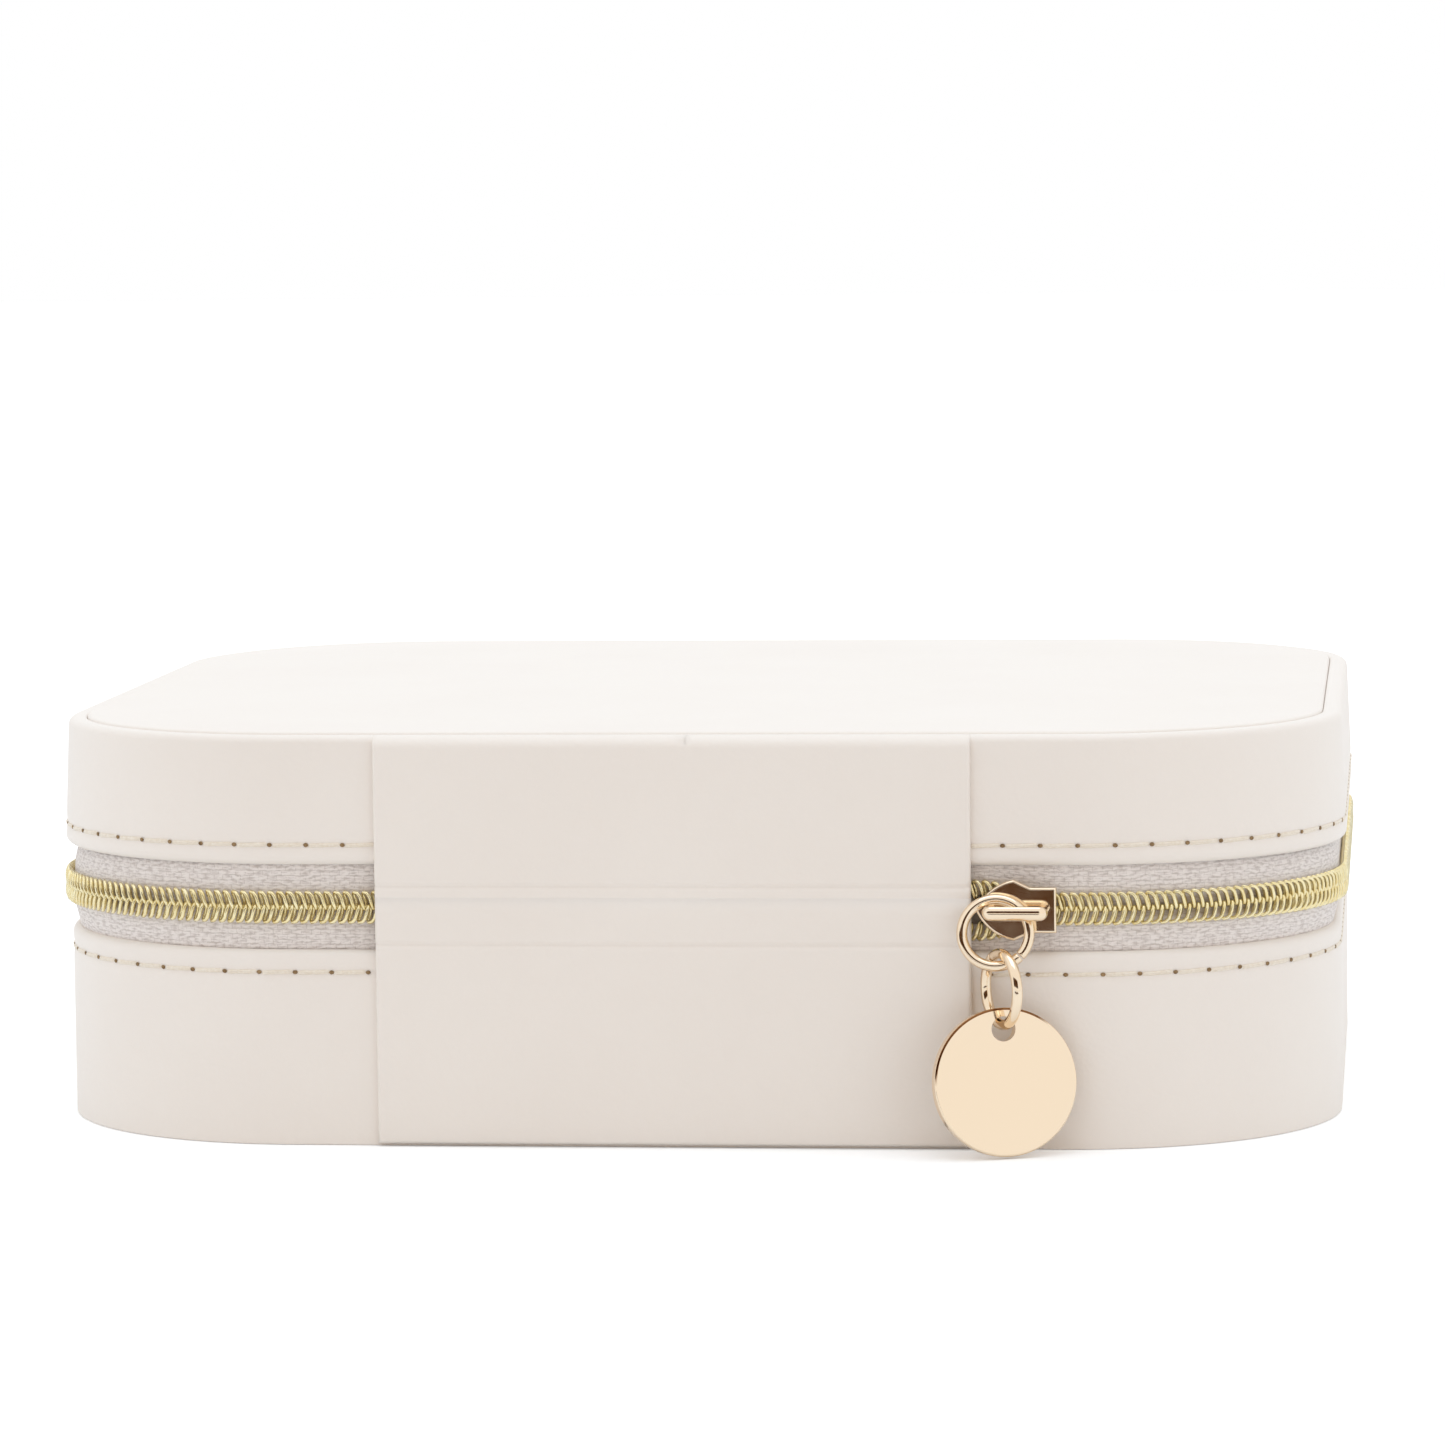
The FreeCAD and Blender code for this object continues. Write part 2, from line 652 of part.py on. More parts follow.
def add_slider_outline(sketch):
    """Slider plate: pointed nose, shoulders, and a narrower tail, along local X."""
    nose, shoulder, neck = size("nose"), size("shoulder"), size("neck")
    tail, tail_half = size("tail"), size("tail_half")
    spots = [
        FreeCAD.Vector(-nose, 0),
        FreeCAD.Vector(0, -shoulder),
        FreeCAD.Vector(neck, -tail_half),
        FreeCAD.Vector(tail, -tail_half),
        FreeCAD.Vector(tail, tail_half),
        FreeCAD.Vector(neck, tail_half),
        FreeCAD.Vector(0, shoulder),
    ]
    chord = math.hypot(nose, shoulder)
    radius = size("nose_radius")
    sag = radius - math.sqrt(radius ** 2 - chord ** 2 / 4)
    outward = FreeCAD.Vector(-shoulder, -nose) * (sag / chord)
    low_middle = (spots[0] + spots[1]) / 2 + outward
    high_middle = FreeCAD.Vector(low_middle.x, -low_middle.y)
    edges = [sketch.addGeometry(Part.Arc(spots[0], low_middle, spots[1]))]
    for begin, finish in zip(spots[1:], spots[2:]):
        edges.append(sketch.addGeometry(Part.LineSegment(begin, finish)))
    edges.append(sketch.addGeometry(Part.Arc(spots[6], high_middle, spots[0])))
    for this, following in zip(edges, edges[1:] + edges[:1]):
        sketch.addConstraint(Sketcher.Constraint("Coincident", this, 2, following, 1))
    for low_edge, high_edge in ((edges[1], edges[6]), (edges[2], edges[5]), (edges[3], edges[4])):
        sketch.addConstraint(Sketcher.Constraint("Symmetric", low_edge, 1, high_edge, 1, -1))
    sketch.addConstraint(Sketcher.Constraint("PointOnObject", edges[0], 1, -1))
    sketch.addConstraint(Sketcher.Constraint("PointOnObject", edges[1], 1, -2))
    sketch.addConstraint(Sketcher.Constraint("Equal", edges[0], edges[6]))
    sketch.addConstraint(Sketcher.Constraint("Horizontal", edges[2]))
    place(sketch, edges[0], 1, "X", "-nose")
    place(sketch, edges[1], 1, "Y", "-shoulder")
    place(sketch, edges[2], 1, "X", "neck")
    place(sketch, edges[2], 1, "Y", "-tail_half")
    place(sketch, edges[3], 1, "X", "tail")
    bind(sketch, Sketcher.Constraint("Radius", edges[0], radius), "dims.nose_radius")


# Slider: two plates on a wedge post that parts the rows, with the tapes between them
slider_body = new_body("slider_body")
post = new_sketch(slider_body, level="-dims.under_top")
add_rectangle(post, "-post_back", "-post_front", "-post_half", "post_half")
pad(slider_body, post, "dims.under_top + dims.plate_gap")
for level, thickness in (("-dims.under_low", "dims.under_plate"), ("dims.plate_gap", "dims.plate")):
    outline = new_sketch(slider_body, level=level)
    add_slider_outline(outline)
    pad(slider_body, outline, thickness)
round_edges(slider_body, "plate_round", lambda edge, middle: is_level(edge, size("plate_top")))
slider_body.Placement = slider_frame

# Bridge: two legs and a wider bar along the slider, which the pull hangs on
slider_bridge = new_body("slider_bridge")
legs = new_sketch(slider_bridge, level="dims.plate_top")
add_rectangle(legs, "-bridge_back", "-bridge_inner_back", "-bridge_leg_half", "bridge_leg_half")
add_rectangle(legs, "bridge_inner_front", "bridge_front", "-bridge_leg_half", "bridge_leg_half")
pad(slider_bridge, legs, "dims.bridge_clear")
bridge_ends = (-size("bridge_back"), size("bridge_front"))


def bridge_corner(edge, middle):
    return edge.BoundBox.ZLength > size("bridge_bar") / 2 and round(middle.x, 6) in bridge_ends


round_edges(slider_bridge, "bridge_leg_round", bridge_corner)
bar = new_sketch(slider_bridge, level="dims.bar_low")
add_rectangle(bar, "-bridge_back", "bridge_front", "-bridge_half", "bridge_half")
pad(slider_bridge, bar, "dims.bridge_bar")
round_edges(slider_bridge, "bridge_end", bridge_corner)
round_edges(slider_bridge, "bridge_round", lambda edge, middle: is_level(edge, size("bar_top")))
slider_bridge.Placement = slider_frame


def jump_ring(label, mean, centre, normal):
    """Round wire ring with a named mean radius."""
    ring = doc.addObject("Part::Torus", label)
    ring.setExpression("Radius1", "dims." + mean)
    ring.setExpression("Radius2", "dims.wire / 2")
    ring.Placement = FreeCAD.Placement(centre, facing(normal))
    return keep(ring, label)


# Pull ring: hangs round the bridge's rear leg, its foot leaning out from the wall
lean = math.radians(size("ring_lean"))
bar_level = size("back") + size("plate_top") + size("bridge_clear") / 2
hang = size("bridge_leg_half") + size("ring_play") - (size("ring") / 2 - size("wire")) * math.cos(lean)
ring_centre = FreeCAD.Vector(
    size("ring_reach") - size("slider_x"),
    bar_level - hang * math.tan(lean),
    size("zip_level") + hang,
)
jump_ring("pull_ring", "ring_mean", ring_centre, FreeCAD.Vector(0, math.cos(lean), math.sin(lean)))

# Link: through the ring's foot, turned so that one side stands in front of the other
turn = math.radians(size("link_turn"))
ring_foot = ring_centre.z - size("ring_mean") * math.cos(lean)
link_reach = size("link_wall") + size("wire") / 2 + size("link_mean") * math.sin(turn)
link_centre = FreeCAD.Vector(
    ring_centre.x - size("link_side"),
    size("back") + link_reach,
    ring_foot - size("link_drop"),
)
jump_ring("pull_link", "link_mean", link_centre, FreeCAD.Vector(math.sin(turn), math.cos(turn), 0))

# Tag: blank round plate on the link's foot, its lower edge kicked out by the table
pull_tag = new_body("pull_tag")
face = new_sketch(pull_tag)
for radius, shift in (("tag", None), ("tag_hole", "tag_hole_up")):
    spot = FreeCAD.Vector(0, size(shift) if shift else 0.0)
    circle = face.addGeometry(Part.Circle(spot, FreeCAD.Vector(0, 0, 1), size(radius) / 2))
    bind(face, Sketcher.Constraint("Diameter", circle, size(radius)), "dims." + radius)
    if shift:
        face.addConstraint(Sketcher.Constraint("PointOnObject", circle, 3, -2))
        place(face, circle, 3, "Y", shift)
    else:
        face.addConstraint(Sketcher.Constraint("Coincident", circle, 3, -1, 1))
pad(pull_tag, face, "dims.tag_plate", midplane=True)
round_edges(pull_tag, "tag_round", lambda edge, middle: edge.Length > math.pi * size("tag") * 0.9)
tag_turn = math.radians(size("tag_turn"))
tag_lean = math.radians(size("tag_lean"))
tag_normal = FreeCAD.Vector(
    -math.sin(tag_turn) * math.cos(tag_lean),
    math.cos(tag_turn) * math.cos(tag_lean),
    math.sin(tag_lean),
)
tag_rotation = facing(tag_normal)
hole_rise = size("wire") / 2 + size("tag_play") - size("tag_hole") / 2
hole_centre = link_centre + FreeCAD.Vector(0, 0, hole_rise - size("link_mean"))
upright = tag_rotation.multVec(FreeCAD.Vector(0, 1, 0))
pull_tag.Placement = FreeCAD.Placement(hole_centre - upright * size("tag_hole_up"), tag_rotation)

doc.recompute()
for item in doc.Objects:
    if {"Invalid", "Error"} & set(item.State):
        raise RuntimeError(f"{item.Label} failed: {item.State}")
for item in parts:
    if item.Shape.isNull() or not item.Shape.isValid():
        raise RuntimeError(f"{item.Label} has no valid shape")

os.makedirs("parts", exist_ok=True)
for item in parts:
    item.Shape.exportStep(f"parts/{item.Label}.step")
    print(f"{item.Label}: {item.Shape.Volume:.1f} mm3, {len(item.Shape.Solids)} solid")
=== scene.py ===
import math

import bmesh
import bpy
from mathutils import Matrix, Vector, noise
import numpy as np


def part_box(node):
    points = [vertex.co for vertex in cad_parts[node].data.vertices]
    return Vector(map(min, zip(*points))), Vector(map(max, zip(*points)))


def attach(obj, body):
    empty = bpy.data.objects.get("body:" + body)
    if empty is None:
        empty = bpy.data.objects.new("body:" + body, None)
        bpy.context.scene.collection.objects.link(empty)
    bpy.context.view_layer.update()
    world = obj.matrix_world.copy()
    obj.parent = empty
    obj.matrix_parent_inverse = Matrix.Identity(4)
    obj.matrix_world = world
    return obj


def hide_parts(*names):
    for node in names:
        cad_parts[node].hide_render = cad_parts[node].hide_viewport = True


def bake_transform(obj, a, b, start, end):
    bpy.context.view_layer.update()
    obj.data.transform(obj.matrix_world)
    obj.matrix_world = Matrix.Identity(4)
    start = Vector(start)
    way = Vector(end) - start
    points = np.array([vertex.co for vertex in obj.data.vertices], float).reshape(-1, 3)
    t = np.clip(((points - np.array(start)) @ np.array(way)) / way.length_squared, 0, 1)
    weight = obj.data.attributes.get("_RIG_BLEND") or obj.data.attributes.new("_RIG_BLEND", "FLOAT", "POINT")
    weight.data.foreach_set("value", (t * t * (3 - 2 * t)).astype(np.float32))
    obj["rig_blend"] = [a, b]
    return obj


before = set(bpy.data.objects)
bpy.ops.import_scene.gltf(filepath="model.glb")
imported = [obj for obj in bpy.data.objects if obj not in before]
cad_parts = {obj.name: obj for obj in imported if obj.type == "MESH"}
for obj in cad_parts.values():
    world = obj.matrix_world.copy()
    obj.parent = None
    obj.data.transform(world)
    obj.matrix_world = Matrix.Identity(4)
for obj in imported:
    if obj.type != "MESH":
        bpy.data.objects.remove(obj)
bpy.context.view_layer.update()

# Board tray and lid shell, the hidden stiffeners that leather and lining are glued to.
# Their CAD shapes are right, so they only get a speckled fibreboard finish.
BOARD_DARK = (0.40, 0.31, 0.22, 1)
BOARD_PALE = (0.62, 0.51, 0.38, 1)


def add_node(tree, kind, values, links):
    """New shader node with plain values on some inputs and links into others."""
    node = tree.nodes.new("ShaderNode" + kind)
    for socket, value in values.items():
        node.inputs[socket].default_value = value
    for socket, source in links.items():
        tree.links.new(source, node.inputs[socket])
    return node


def new_material(name, **constants):
    """Material with plain values on its shader; gives the material, its tree and its shader."""
    material = bpy.data.materials.new(name)
    material.use_nodes = True
    shader = material.node_tree.nodes["Principled BSDF"]
    for socket, value in constants.items():
        shader.inputs[socket.replace("_", " ").title()].default_value = value
    return material, material.node_tree, shader


def object_place(tree):
    return add_node(tree, "TexCoord", {}, {}).outputs["Object"]


fine_grain = bpy.data.node_groups.new("fine_grain", "ShaderNodeTree")
fine_grain.interface.new_socket("Place", in_out="INPUT", socket_type="NodeSocketVector")
fine_grain.interface.new_socket("Scale", in_out="INPUT", socket_type="NodeSocketFloat")
fine_grain.interface.new_socket("Detail", in_out="INPUT", socket_type="NodeSocketFloat")
fine_grain.interface.new_socket("Amount", in_out="OUTPUT", socket_type="NodeSocketFloat")
given = fine_grain.nodes.new("NodeGroupInput").outputs
sources = {"Vector": given["Place"], "Scale": given["Scale"], "Detail": given["Detail"]}
specks = add_node(fine_grain, "TexNoise", {}, sources)
fine_grain.links.new(specks.outputs["Fac"], fine_grain.nodes.new("NodeGroupOutput").inputs["Amount"])


def grain(tree, place, scale, detail=2.0):
    """Noise value between 0 and 1 at a number of features per metre."""
    node = tree.nodes.new("ShaderNodeGroup")
    node.node_tree = fine_grain
    node.inputs["Scale"].default_value = scale
    node.inputs["Detail"].default_value = detail
    tree.links.new(place, node.inputs["Place"])
    return node.outputs["Amount"]


def tint(tree, shader, factor, low, high, start=0.3, end=0.7):
    """Base colour that goes from one colour to another between two values of a factor."""
    ramp = add_node(tree, "ValToRGB", {}, {"Fac": factor})
    ends = ramp.color_ramp.elements
    ends[0].position, ends[0].color = start, low
    ends[1].position, ends[1].color = end, high
    tree.links.new(ramp.outputs["Color"], shader.inputs["Base Color"])


def vary_roughness(tree, shader, factor, low, high):
    span = add_node(tree, "MapRange", {"To Min": low, "To Max": high}, {"Value": factor})
    tree.links.new(span.outputs["Result"], shader.inputs["Roughness"])


def emboss(tree, shader, height, distance, strength):
    """Bump from a height value, whose full range stands for a distance in metres."""
    bump = add_node(tree, "Bump", {"Strength": strength, "Distance": distance}, {"Height": height})
    tree.links.new(bump.outputs["Normal"], shader.inputs["Normal"])


def paint(node, material):
    """Give a CAD node that stays in view its finished material."""
    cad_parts[node].material_slots[0].material = material


board, tree, shader = new_material("board")
speckle = grain(tree, object_place(tree), 900, 6)
tint(tree, shader, speckle, BOARD_DARK, BOARD_PALE)
vary_roughness(tree, shader, speckle, 0.75, 0.95)
emboss(tree, shader, speckle, 0.0001, 0.4)
for node in ("base_core", "lid_core"):
    paint(node, board)

# Base walls: one band of cream leather round the tray, folded over at the hem and turned
# in at the foot. A profile is swept round the outline, then drawn in along the stitches.
MM = 0.001
NEAR = 1e-6
CORNER = 33 * MM
LEATHER = 1.2 * MM
FOOT = 0.03 * MM
FOOT_ROUND = 0.15 * MM
HEM_ROUND = 1.0 * MM
HEM_TALL = 1.2 * MM
HEM_TRIM = 0.2 * MM
WALL_STEP = 0.75 * MM
STITCH_DENT = 0.16 * MM
STITCH_REACH = 1.75 * MM
GROOVE_HALF = 0.5 * MM
HOLLOW_HALF = 1.1 * MM
GROOVE_SHARE = 0.7
HOLE_SHARE = 0.3
HOLLOW_SHARE = 0.45
BASE_STITCH_DROP = 2.9 * MM
LEATHER_DEEP = (0.860, 0.796, 0.738, 1)
LEATHER_PALE = (0.872, 0.812, 0.755, 1)

base_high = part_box("base_wrap")[1]
BACK = base_high.y
CORNER_X = base_high.x - CORNER
CORNER_Y = base_high.y - CORNER
ROUND = 4 * (CORNER_X + CORNER_Y) + 2 * math.pi * CORNER
LEGS = (
    ((-1, 0, 0), CORNER_X, (-CORNER_X, CORNER_Y, 0)),
    ((0, -1, 0), 2 * CORNER_Y, (-CORNER_X, -CORNER_Y, 0)),
    ((1, 0, 0), 2 * CORNER_X, (CORNER_X, -CORNER_Y, 0)),
    ((0, 1, 0), 2 * CORNER_Y, (CORNER_X, CORNER_Y, 0)),
    ((-1, 0, 0), CORNER_X, None),
)


def arc(inset, level, radius, start, end, steps=5):
    """Profile points on an arc; degrees turn from inwards (0) through up (90) to outwards (180)."""
    angles = [math.radians(start + (end - start) * step / steps) for step in range(steps + 1)]
    return [(inset + radius * math.cos(turn), level + radius * math.sin(turn)) for turn in angles]


def sweep(profile, step, closed=True):
    """Mesh of a profile of inset and level pairs, carried round the box from the back's middle."""
    bm = bmesh.new()
    verts = [bm.verts.new((0, BACK - inset, level)) for inset, level in profile]
    pairs = list(zip(verts, verts[1:])) + ([(verts[-1], verts[0])] if closed else [])
    front = [bm.edges.new(pair) for pair in pairs]

    def carry(edges, **motion):
        last = bmesh.ops.spin(bm, geom=edges, axis=(0, 0, 1), **motion)["geom_last"]
        return [item for item in last if isinstance(item, bmesh.types.BMEdge)]

    for heading, run, corner in LEGS:
        count = round(run / step)
        front = carry(front, dvec=Vector(heading) * (run / count), steps=count)
        if corner:
            bend = CORNER * math.pi / 2
            front = carry(front, cent=corner, angle=math.pi / 2, steps=round(bend / step))
    bmesh.ops.remove_doubles(bm, verts=bm.verts, dist=NEAR)
    return bm


def core_spot(point):
    """Nearest point to a place on the rectangle that joins the corners' centres."""
    x = max(-CORNER_X, min(CORNER_X, point.x))
    y = max(-CORNER_Y, min(CORNER_Y, point.y))
    return Vector((x, y, point.z))


def outward(point):
    return (point - core_spot(point)).normalized()


def inset_of(point):
    return CORNER - (point - core_spot(point)).length


def way_round(point):
    """Distance round the box from the back's middle to a place, towards -X first."""
    x = max(-CORNER_X, min(CORNER_X, point.x))
    y = max(-CORNER_Y, min(CORNER_Y, point.y))
    turn = math.atan2(x - point.x, point.y - y) % (2 * math.pi)
    if y == CORNER_Y and x <= 0:
        straight = -x
    elif x == -CORNER_X:
        straight = CORNER_X + CORNER_Y - y
    elif y == -CORNER_Y:
        straight = 2 * CORNER_X + 2 * CORNER_Y + x
    elif y < CORNER_Y:
        straight = 3 * CORNER_X + 3 * CORNER_Y + y
    else:
        straight = 4 * CORNER_X + 4 * CORNER_Y - x
        turn = turn or 2 * math.pi
    return straight + CORNER * turn


def outline_at(way, inset, level):
    """Point at a distance round the box, an inset and a level."""
    spot, turn = Vector((0, CORNER_Y, level)), 0.0
    for heading, run, corner in LEGS:
        step = min(way, run)
        spot += Vector(heading) * step
        way -= step
        if corner:
            bend = min(way, CORNER * math.pi / 2)
            turn += bend / CORNER
            way -= bend
    return spot + Vector((-math.sin(turn), math.cos(turn), 0)) * (CORNER - inset)


def wall_levels(low, high, stitch):
    """Levels up a wall, close together beside the stitch line."""
    rows = [low + (high - low) * row / 9 for row in range(10)]
    rows = [level for level in rows if abs(level - stitch) > STITCH_REACH]
    rows += [stitch + STITCH_REACH * row / 7 for row in range(-7, 8)]
    return sorted(level for level in rows if low <= level <= high)


def draw_in(bm, stitch, first, pitch):
    """Press the stitch line into the leather, deepest at the needle holes."""
    for vert in bm.verts:
        drop = abs(vert.co.z - stitch)
        if drop < 2 * HOLLOW_HALF and inset_of(vert.co) < LEATHER / 4:
            phase = math.cos(2 * math.pi * (way_round(vert.co) - first) / pitch)
            groove = math.exp(-((drop / GROOVE_HALF) ** 2)) * (GROOVE_SHARE + HOLE_SHARE * phase)
            hollow = HOLLOW_SHARE * math.exp(-((drop / HOLLOW_HALF) ** 2))
            vert.co -= outward(vert.co) * STITCH_DENT * (groove + hollow)


def show(name, mesh, material, stands_for=()):
    """Put a finished mesh in the scene as a smooth piece with its material."""
    mesh.shade_smooth()
    mesh.materials.clear()
    mesh.materials.append(material)
    piece = bpy.data.objects.new(name, mesh)
    bpy.context.scene.collection.objects.link(piece)
    if stands_for:
        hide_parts(*stands_for)
    return piece


def to_mesh(bm, name):
    """Plain mesh of a finished bmesh, with its normals facing out."""
    bmesh.ops.recalc_face_normals(bm, faces=bm.faces)
    mesh = bpy.data.meshes.new(name)
    bm.to_mesh(mesh)
    bm.free()
    return mesh


leather, tree, shader = new_material("leather")
place = object_place(tree)
pores = add_node(tree, "TexVoronoi", {"Scale": 1500}, {"Vector": place}).outputs["Distance"]
tint(tree, shader, grain(tree, place, 45), LEATHER_DEEP, LEATHER_PALE)
vary_roughness(tree, shader, grain(tree, place, 700, 4), 0.40, 0.54)
emboss(tree, shader, pores, 0.00006, 0.4)

BASE_FIRST_HOLE = 42.9 * MM
BASE_LAST_HOLE = ROUND - 37.2 * MM
BASE_STITCHES = 103
base_stitch = base_high.z - BASE_STITCH_DROP
base_pitch = (BASE_LAST_HOLE - BASE_FIRST_HOLE) / BASE_STITCHES
profile = [(LEATHER, FOOT)]
profile += arc(FOOT_ROUND, FOOT + FOOT_ROUND, FOOT_ROUND, 270, 180)
hem = base_high.z - HEM_TRIM
levels = wall_levels(FOOT + 2 * FOOT_ROUND, hem - HEM_TALL, base_stitch)
profile += [(0, level) for level in levels]
profile += arc(HEM_ROUND, hem - HEM_ROUND, HEM_ROUND, 180, 90)
profile += [(LEATHER, hem)]
bm = sweep(profile, WALL_STEP)
draw_in(bm, base_stitch, BASE_FIRST_HOLE, base_pitch)
walls = show("base_walls", to_mesh(bm, "base_walls"), leather, ["base_wrap"])
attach(walls, "base")
paint("base_underside", leather)

# Stitching of the base: cream thread that lies in the groove and dives into needle holes,
# each hole a small dimple coloured dark brown as painted shade. Threads are curves, made into one mesh.
THREAD = 0.58 * MM
THREAD_INSET = 0.20 * MM
THREAD_DIVE = 0.45 * MM
THREAD_SLANT = 0.08 * MM
THREAD_HALF = 0.49
DIVE_SHARP = 7
HOLE_WIDE = 0.32 * MM
HOLE_TALL = 0.256 * MM
HOLE_DEEP = 0.10 * MM
HOLE_INSET = 0.6 * STITCH_DENT
SWELL_RUN = 1.2 * CORNER
THREAD_DARK = (0.80, 0.705, 0.58, 1)
THREAD_PALE = (0.88, 0.805, 0.70, 1)
HOLE_SHADE_DARK = (0.16, 0.09, 0.035, 1)
HOLE_SHADE_PALE = (0.36, 0.24, 0.12, 1)

spine_low, spine_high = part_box("spine_lower")


def behind_spine(point):
    return point.y > 0 and abs(point.x) < spine_high.x


def wire_mesh(name, paths, radius, resolution=1):
    """Mesh of round wires along lists of points, with closed ends."""
    curve = bpy.data.curves.new(name, "CURVE")
    curve.dimensions = "3D"
    curve.bevel_depth = radius
    curve.bevel_resolution = resolution
    curve.use_fill_caps = True
    for path in paths:
        spline = curve.splines.new("POLY")
        spline.points.add(len(path) - 1)
        for spot, point in zip(path, spline.points):
            point.co = (*spot, 1)
    holder = bpy.data.objects.new(name, curve)
    mesh = bpy.data.meshes.new_from_object(holder)
    bpy.data.objects.remove(holder)
    bpy.data.curves.remove(curve)
    return mesh


def ease(share):
    share = max(0.0, min(1.0, share))
    return share * share * (3 - 2 * share)


def side_swell(way):
    """Share, at a distance round the box, of a bulge that the straight back doesn't have."""
    return ease((min(way, ROUND - way) - CORNER_X) / SWELL_RUN)


def stitch_line(name, body, level, first, pitch, count, flare=0.0):
    """Threads and needle holes (dark dimples of painted shade) of one stitch line, where the spine doesn't
    cover it.
    """
    threads, holes = [], bmesh.new()
    for number in range(-1, count + 2):
        way = (first + number * pitch) % ROUND
        hole = outline_at(way, HOLE_INSET - flare * side_swell(way), level)
        if not behind_spine(hole):
            facing = outward(hole).to_track_quat("Y", "Z").to_matrix().to_4x4()
            flat = Matrix.Diagonal((HOLE_WIDE, HOLE_DEEP, HOLE_TALL, 1))
            bmesh.ops.create_uvsphere(
                holes, u_segments=8, v_segments=4, radius=1, matrix=Matrix.Translation(hole) @ facing @ flat
            )
        middle = first + (number + 0.5) * pitch
        if behind_spine(outline_at(middle % ROUND, 0, level)):
            continue
        path = []
        for step in range(-4, 5):
            share = step / 4
            way = (middle + share * THREAD_HALF * pitch) % ROUND
            inset = THREAD_INSET + THREAD_DIVE * abs(share) ** DIVE_SHARP - flare * side_swell(way)
            path.append(outline_at(way, inset, level + THREAD_SLANT * share))
        threads.append(path)
    sewing = show(name + "_thread", wire_mesh(name, threads, THREAD / 2), thread)
    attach(sewing, body)
    dimples = show(name + "_hole_shade", to_mesh(holes, name + "_hole_shade"), needle_hole_shade)
    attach(dimples, body)


thread, tree, shader = new_material("thread", Sheen_Weight=0.2)
twist = grain(tree, object_place(tree), 2500, 3)
tint(tree, shader, twist, THREAD_DARK, THREAD_PALE)
vary_roughness(tree, shader, twist, 0.6, 0.8)
emboss(tree, shader, twist, 0.0001, 0.5)

# Needle-hole colour: dark brown is painted shade that stands in for the shade inside each hole.
needle_hole_shade, tree, shader = new_material("needle_hole_shade")
shadow = grain(tree, object_place(tree), 1800)
tint(tree, shader, shadow, HOLE_SHADE_DARK, HOLE_SHADE_PALE)
vary_roughness(tree, shader, shadow, 0.8, 0.95)

stitch_line("base_stitch", "base", base_stitch, BASE_FIRST_HOLE, base_pitch, BASE_STITCHES)

# Lid walls: the same leather, sewn along its lower hem and turned over the top edge as a
# narrow rim. On the sides and the front its hem stands out a little over the zip.
LID_STITCH_RISE = 2.65 * MM
LID_FIRST_HOLE = 39.95 * MM
LID_LAST_HOLE = ROUND - 40.1 * MM
LID_STITCHES = 103
RIM_ROUND = 0.9 * MM
RIM_WIDTH = 2.3 * MM
RIM_EDGE = 0.35 * MM
LID_FLARE = 0.7 * MM

lid_low, lid_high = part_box("lid_wrap")
lid_stitch = lid_low.z + LID_STITCH_RISE
lid_pitch = (LID_LAST_HOLE - LID_FIRST_HOLE) / LID_STITCHES
hem = lid_low.z + HEM_TRIM
profile = [(LEATHER, hem)]
profile += arc(HEM_ROUND, hem + HEM_ROUND, HEM_ROUND, 270, 180)
levels = wall_levels(hem + HEM_TALL, lid_high.z - 2 * RIM_ROUND, lid_stitch)
profile += [(0, level) for level in levels]
profile += arc(RIM_ROUND, lid_high.z - RIM_ROUND, RIM_ROUND, 180, 90)
profile += arc(RIM_WIDTH - RIM_EDGE, lid_high.z - RIM_EDGE, RIM_EDGE, 90, 0, 4)
profile += [(RIM_WIDTH, lid_high.z - LEATHER), (LEATHER, lid_high.z - LEATHER)]
bm = sweep(profile, WALL_STEP)
draw_in(bm, lid_stitch, LID_FIRST_HOLE, lid_pitch)
lid_tall = lid_high.z - lid_low.z
for vert in bm.verts:
    lean = LID_FLARE * (lid_high.z - vert.co.z) / lid_tall
    vert.co += outward(vert.co) * lean * side_swell(way_round(vert.co))
walls = show("lid_walls", to_mesh(bm, "lid_walls"), leather, ["lid_wrap"])
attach(walls, "lid")
lean = LID_FLARE * (1 - LID_STITCH_RISE / lid_tall)
stitch_line("lid_stitch", "lid", lid_stitch, LID_FIRST_HOLE, lid_pitch, LID_STITCHES, lean)

# Lid panel: leather over thin foam, let into the rim. Its edge rolls down into the groove
# and its top has a low crown with slight unevenness, as glued foam has.
PANEL_INSET = 2.32 * MM
PANEL_ROLL = 0.45 * MM
PANEL_CROWN = 0.15 * MM
PANEL_SHOULDER = 5 * MM
PANEL_WAVE = 0.05 * MM
PANEL_RIPPLES = 60
PANEL_STEP = 3 * MM
PANEL_LOOPS = (1.5, 2.5, 4, 6, 9, 13, 18)
PANEL_RINGS = 10
INNER_LOOP = 15 * MM

panel_low, panel_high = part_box("lid_panel")


def close_to_centre(bm, rings):
    """Carry the inner loop of an open swept band on to the middle of the box and close it there."""
    rim = [edge for edge in bm.edges if edge.is_boundary and inset_of(edge.verts[0].co) > INNER_LOOP]
    for ring in range(rings, 0, -1):
        made = bmesh.ops.extrude_edge_only(bm, edges=rim)["geom"]
        verts = [item for item in made if isinstance(item, bmesh.types.BMVert)]
        share = (ring - 1) / ring
        bmesh.ops.scale(bm, vec=(share, share, 1), verts=verts)
        rim = [item for item in made if isinstance(item, bmesh.types.BMEdge) and item.is_boundary]
    bmesh.ops.remove_doubles(bm, verts=bm.verts, dist=NEAR)


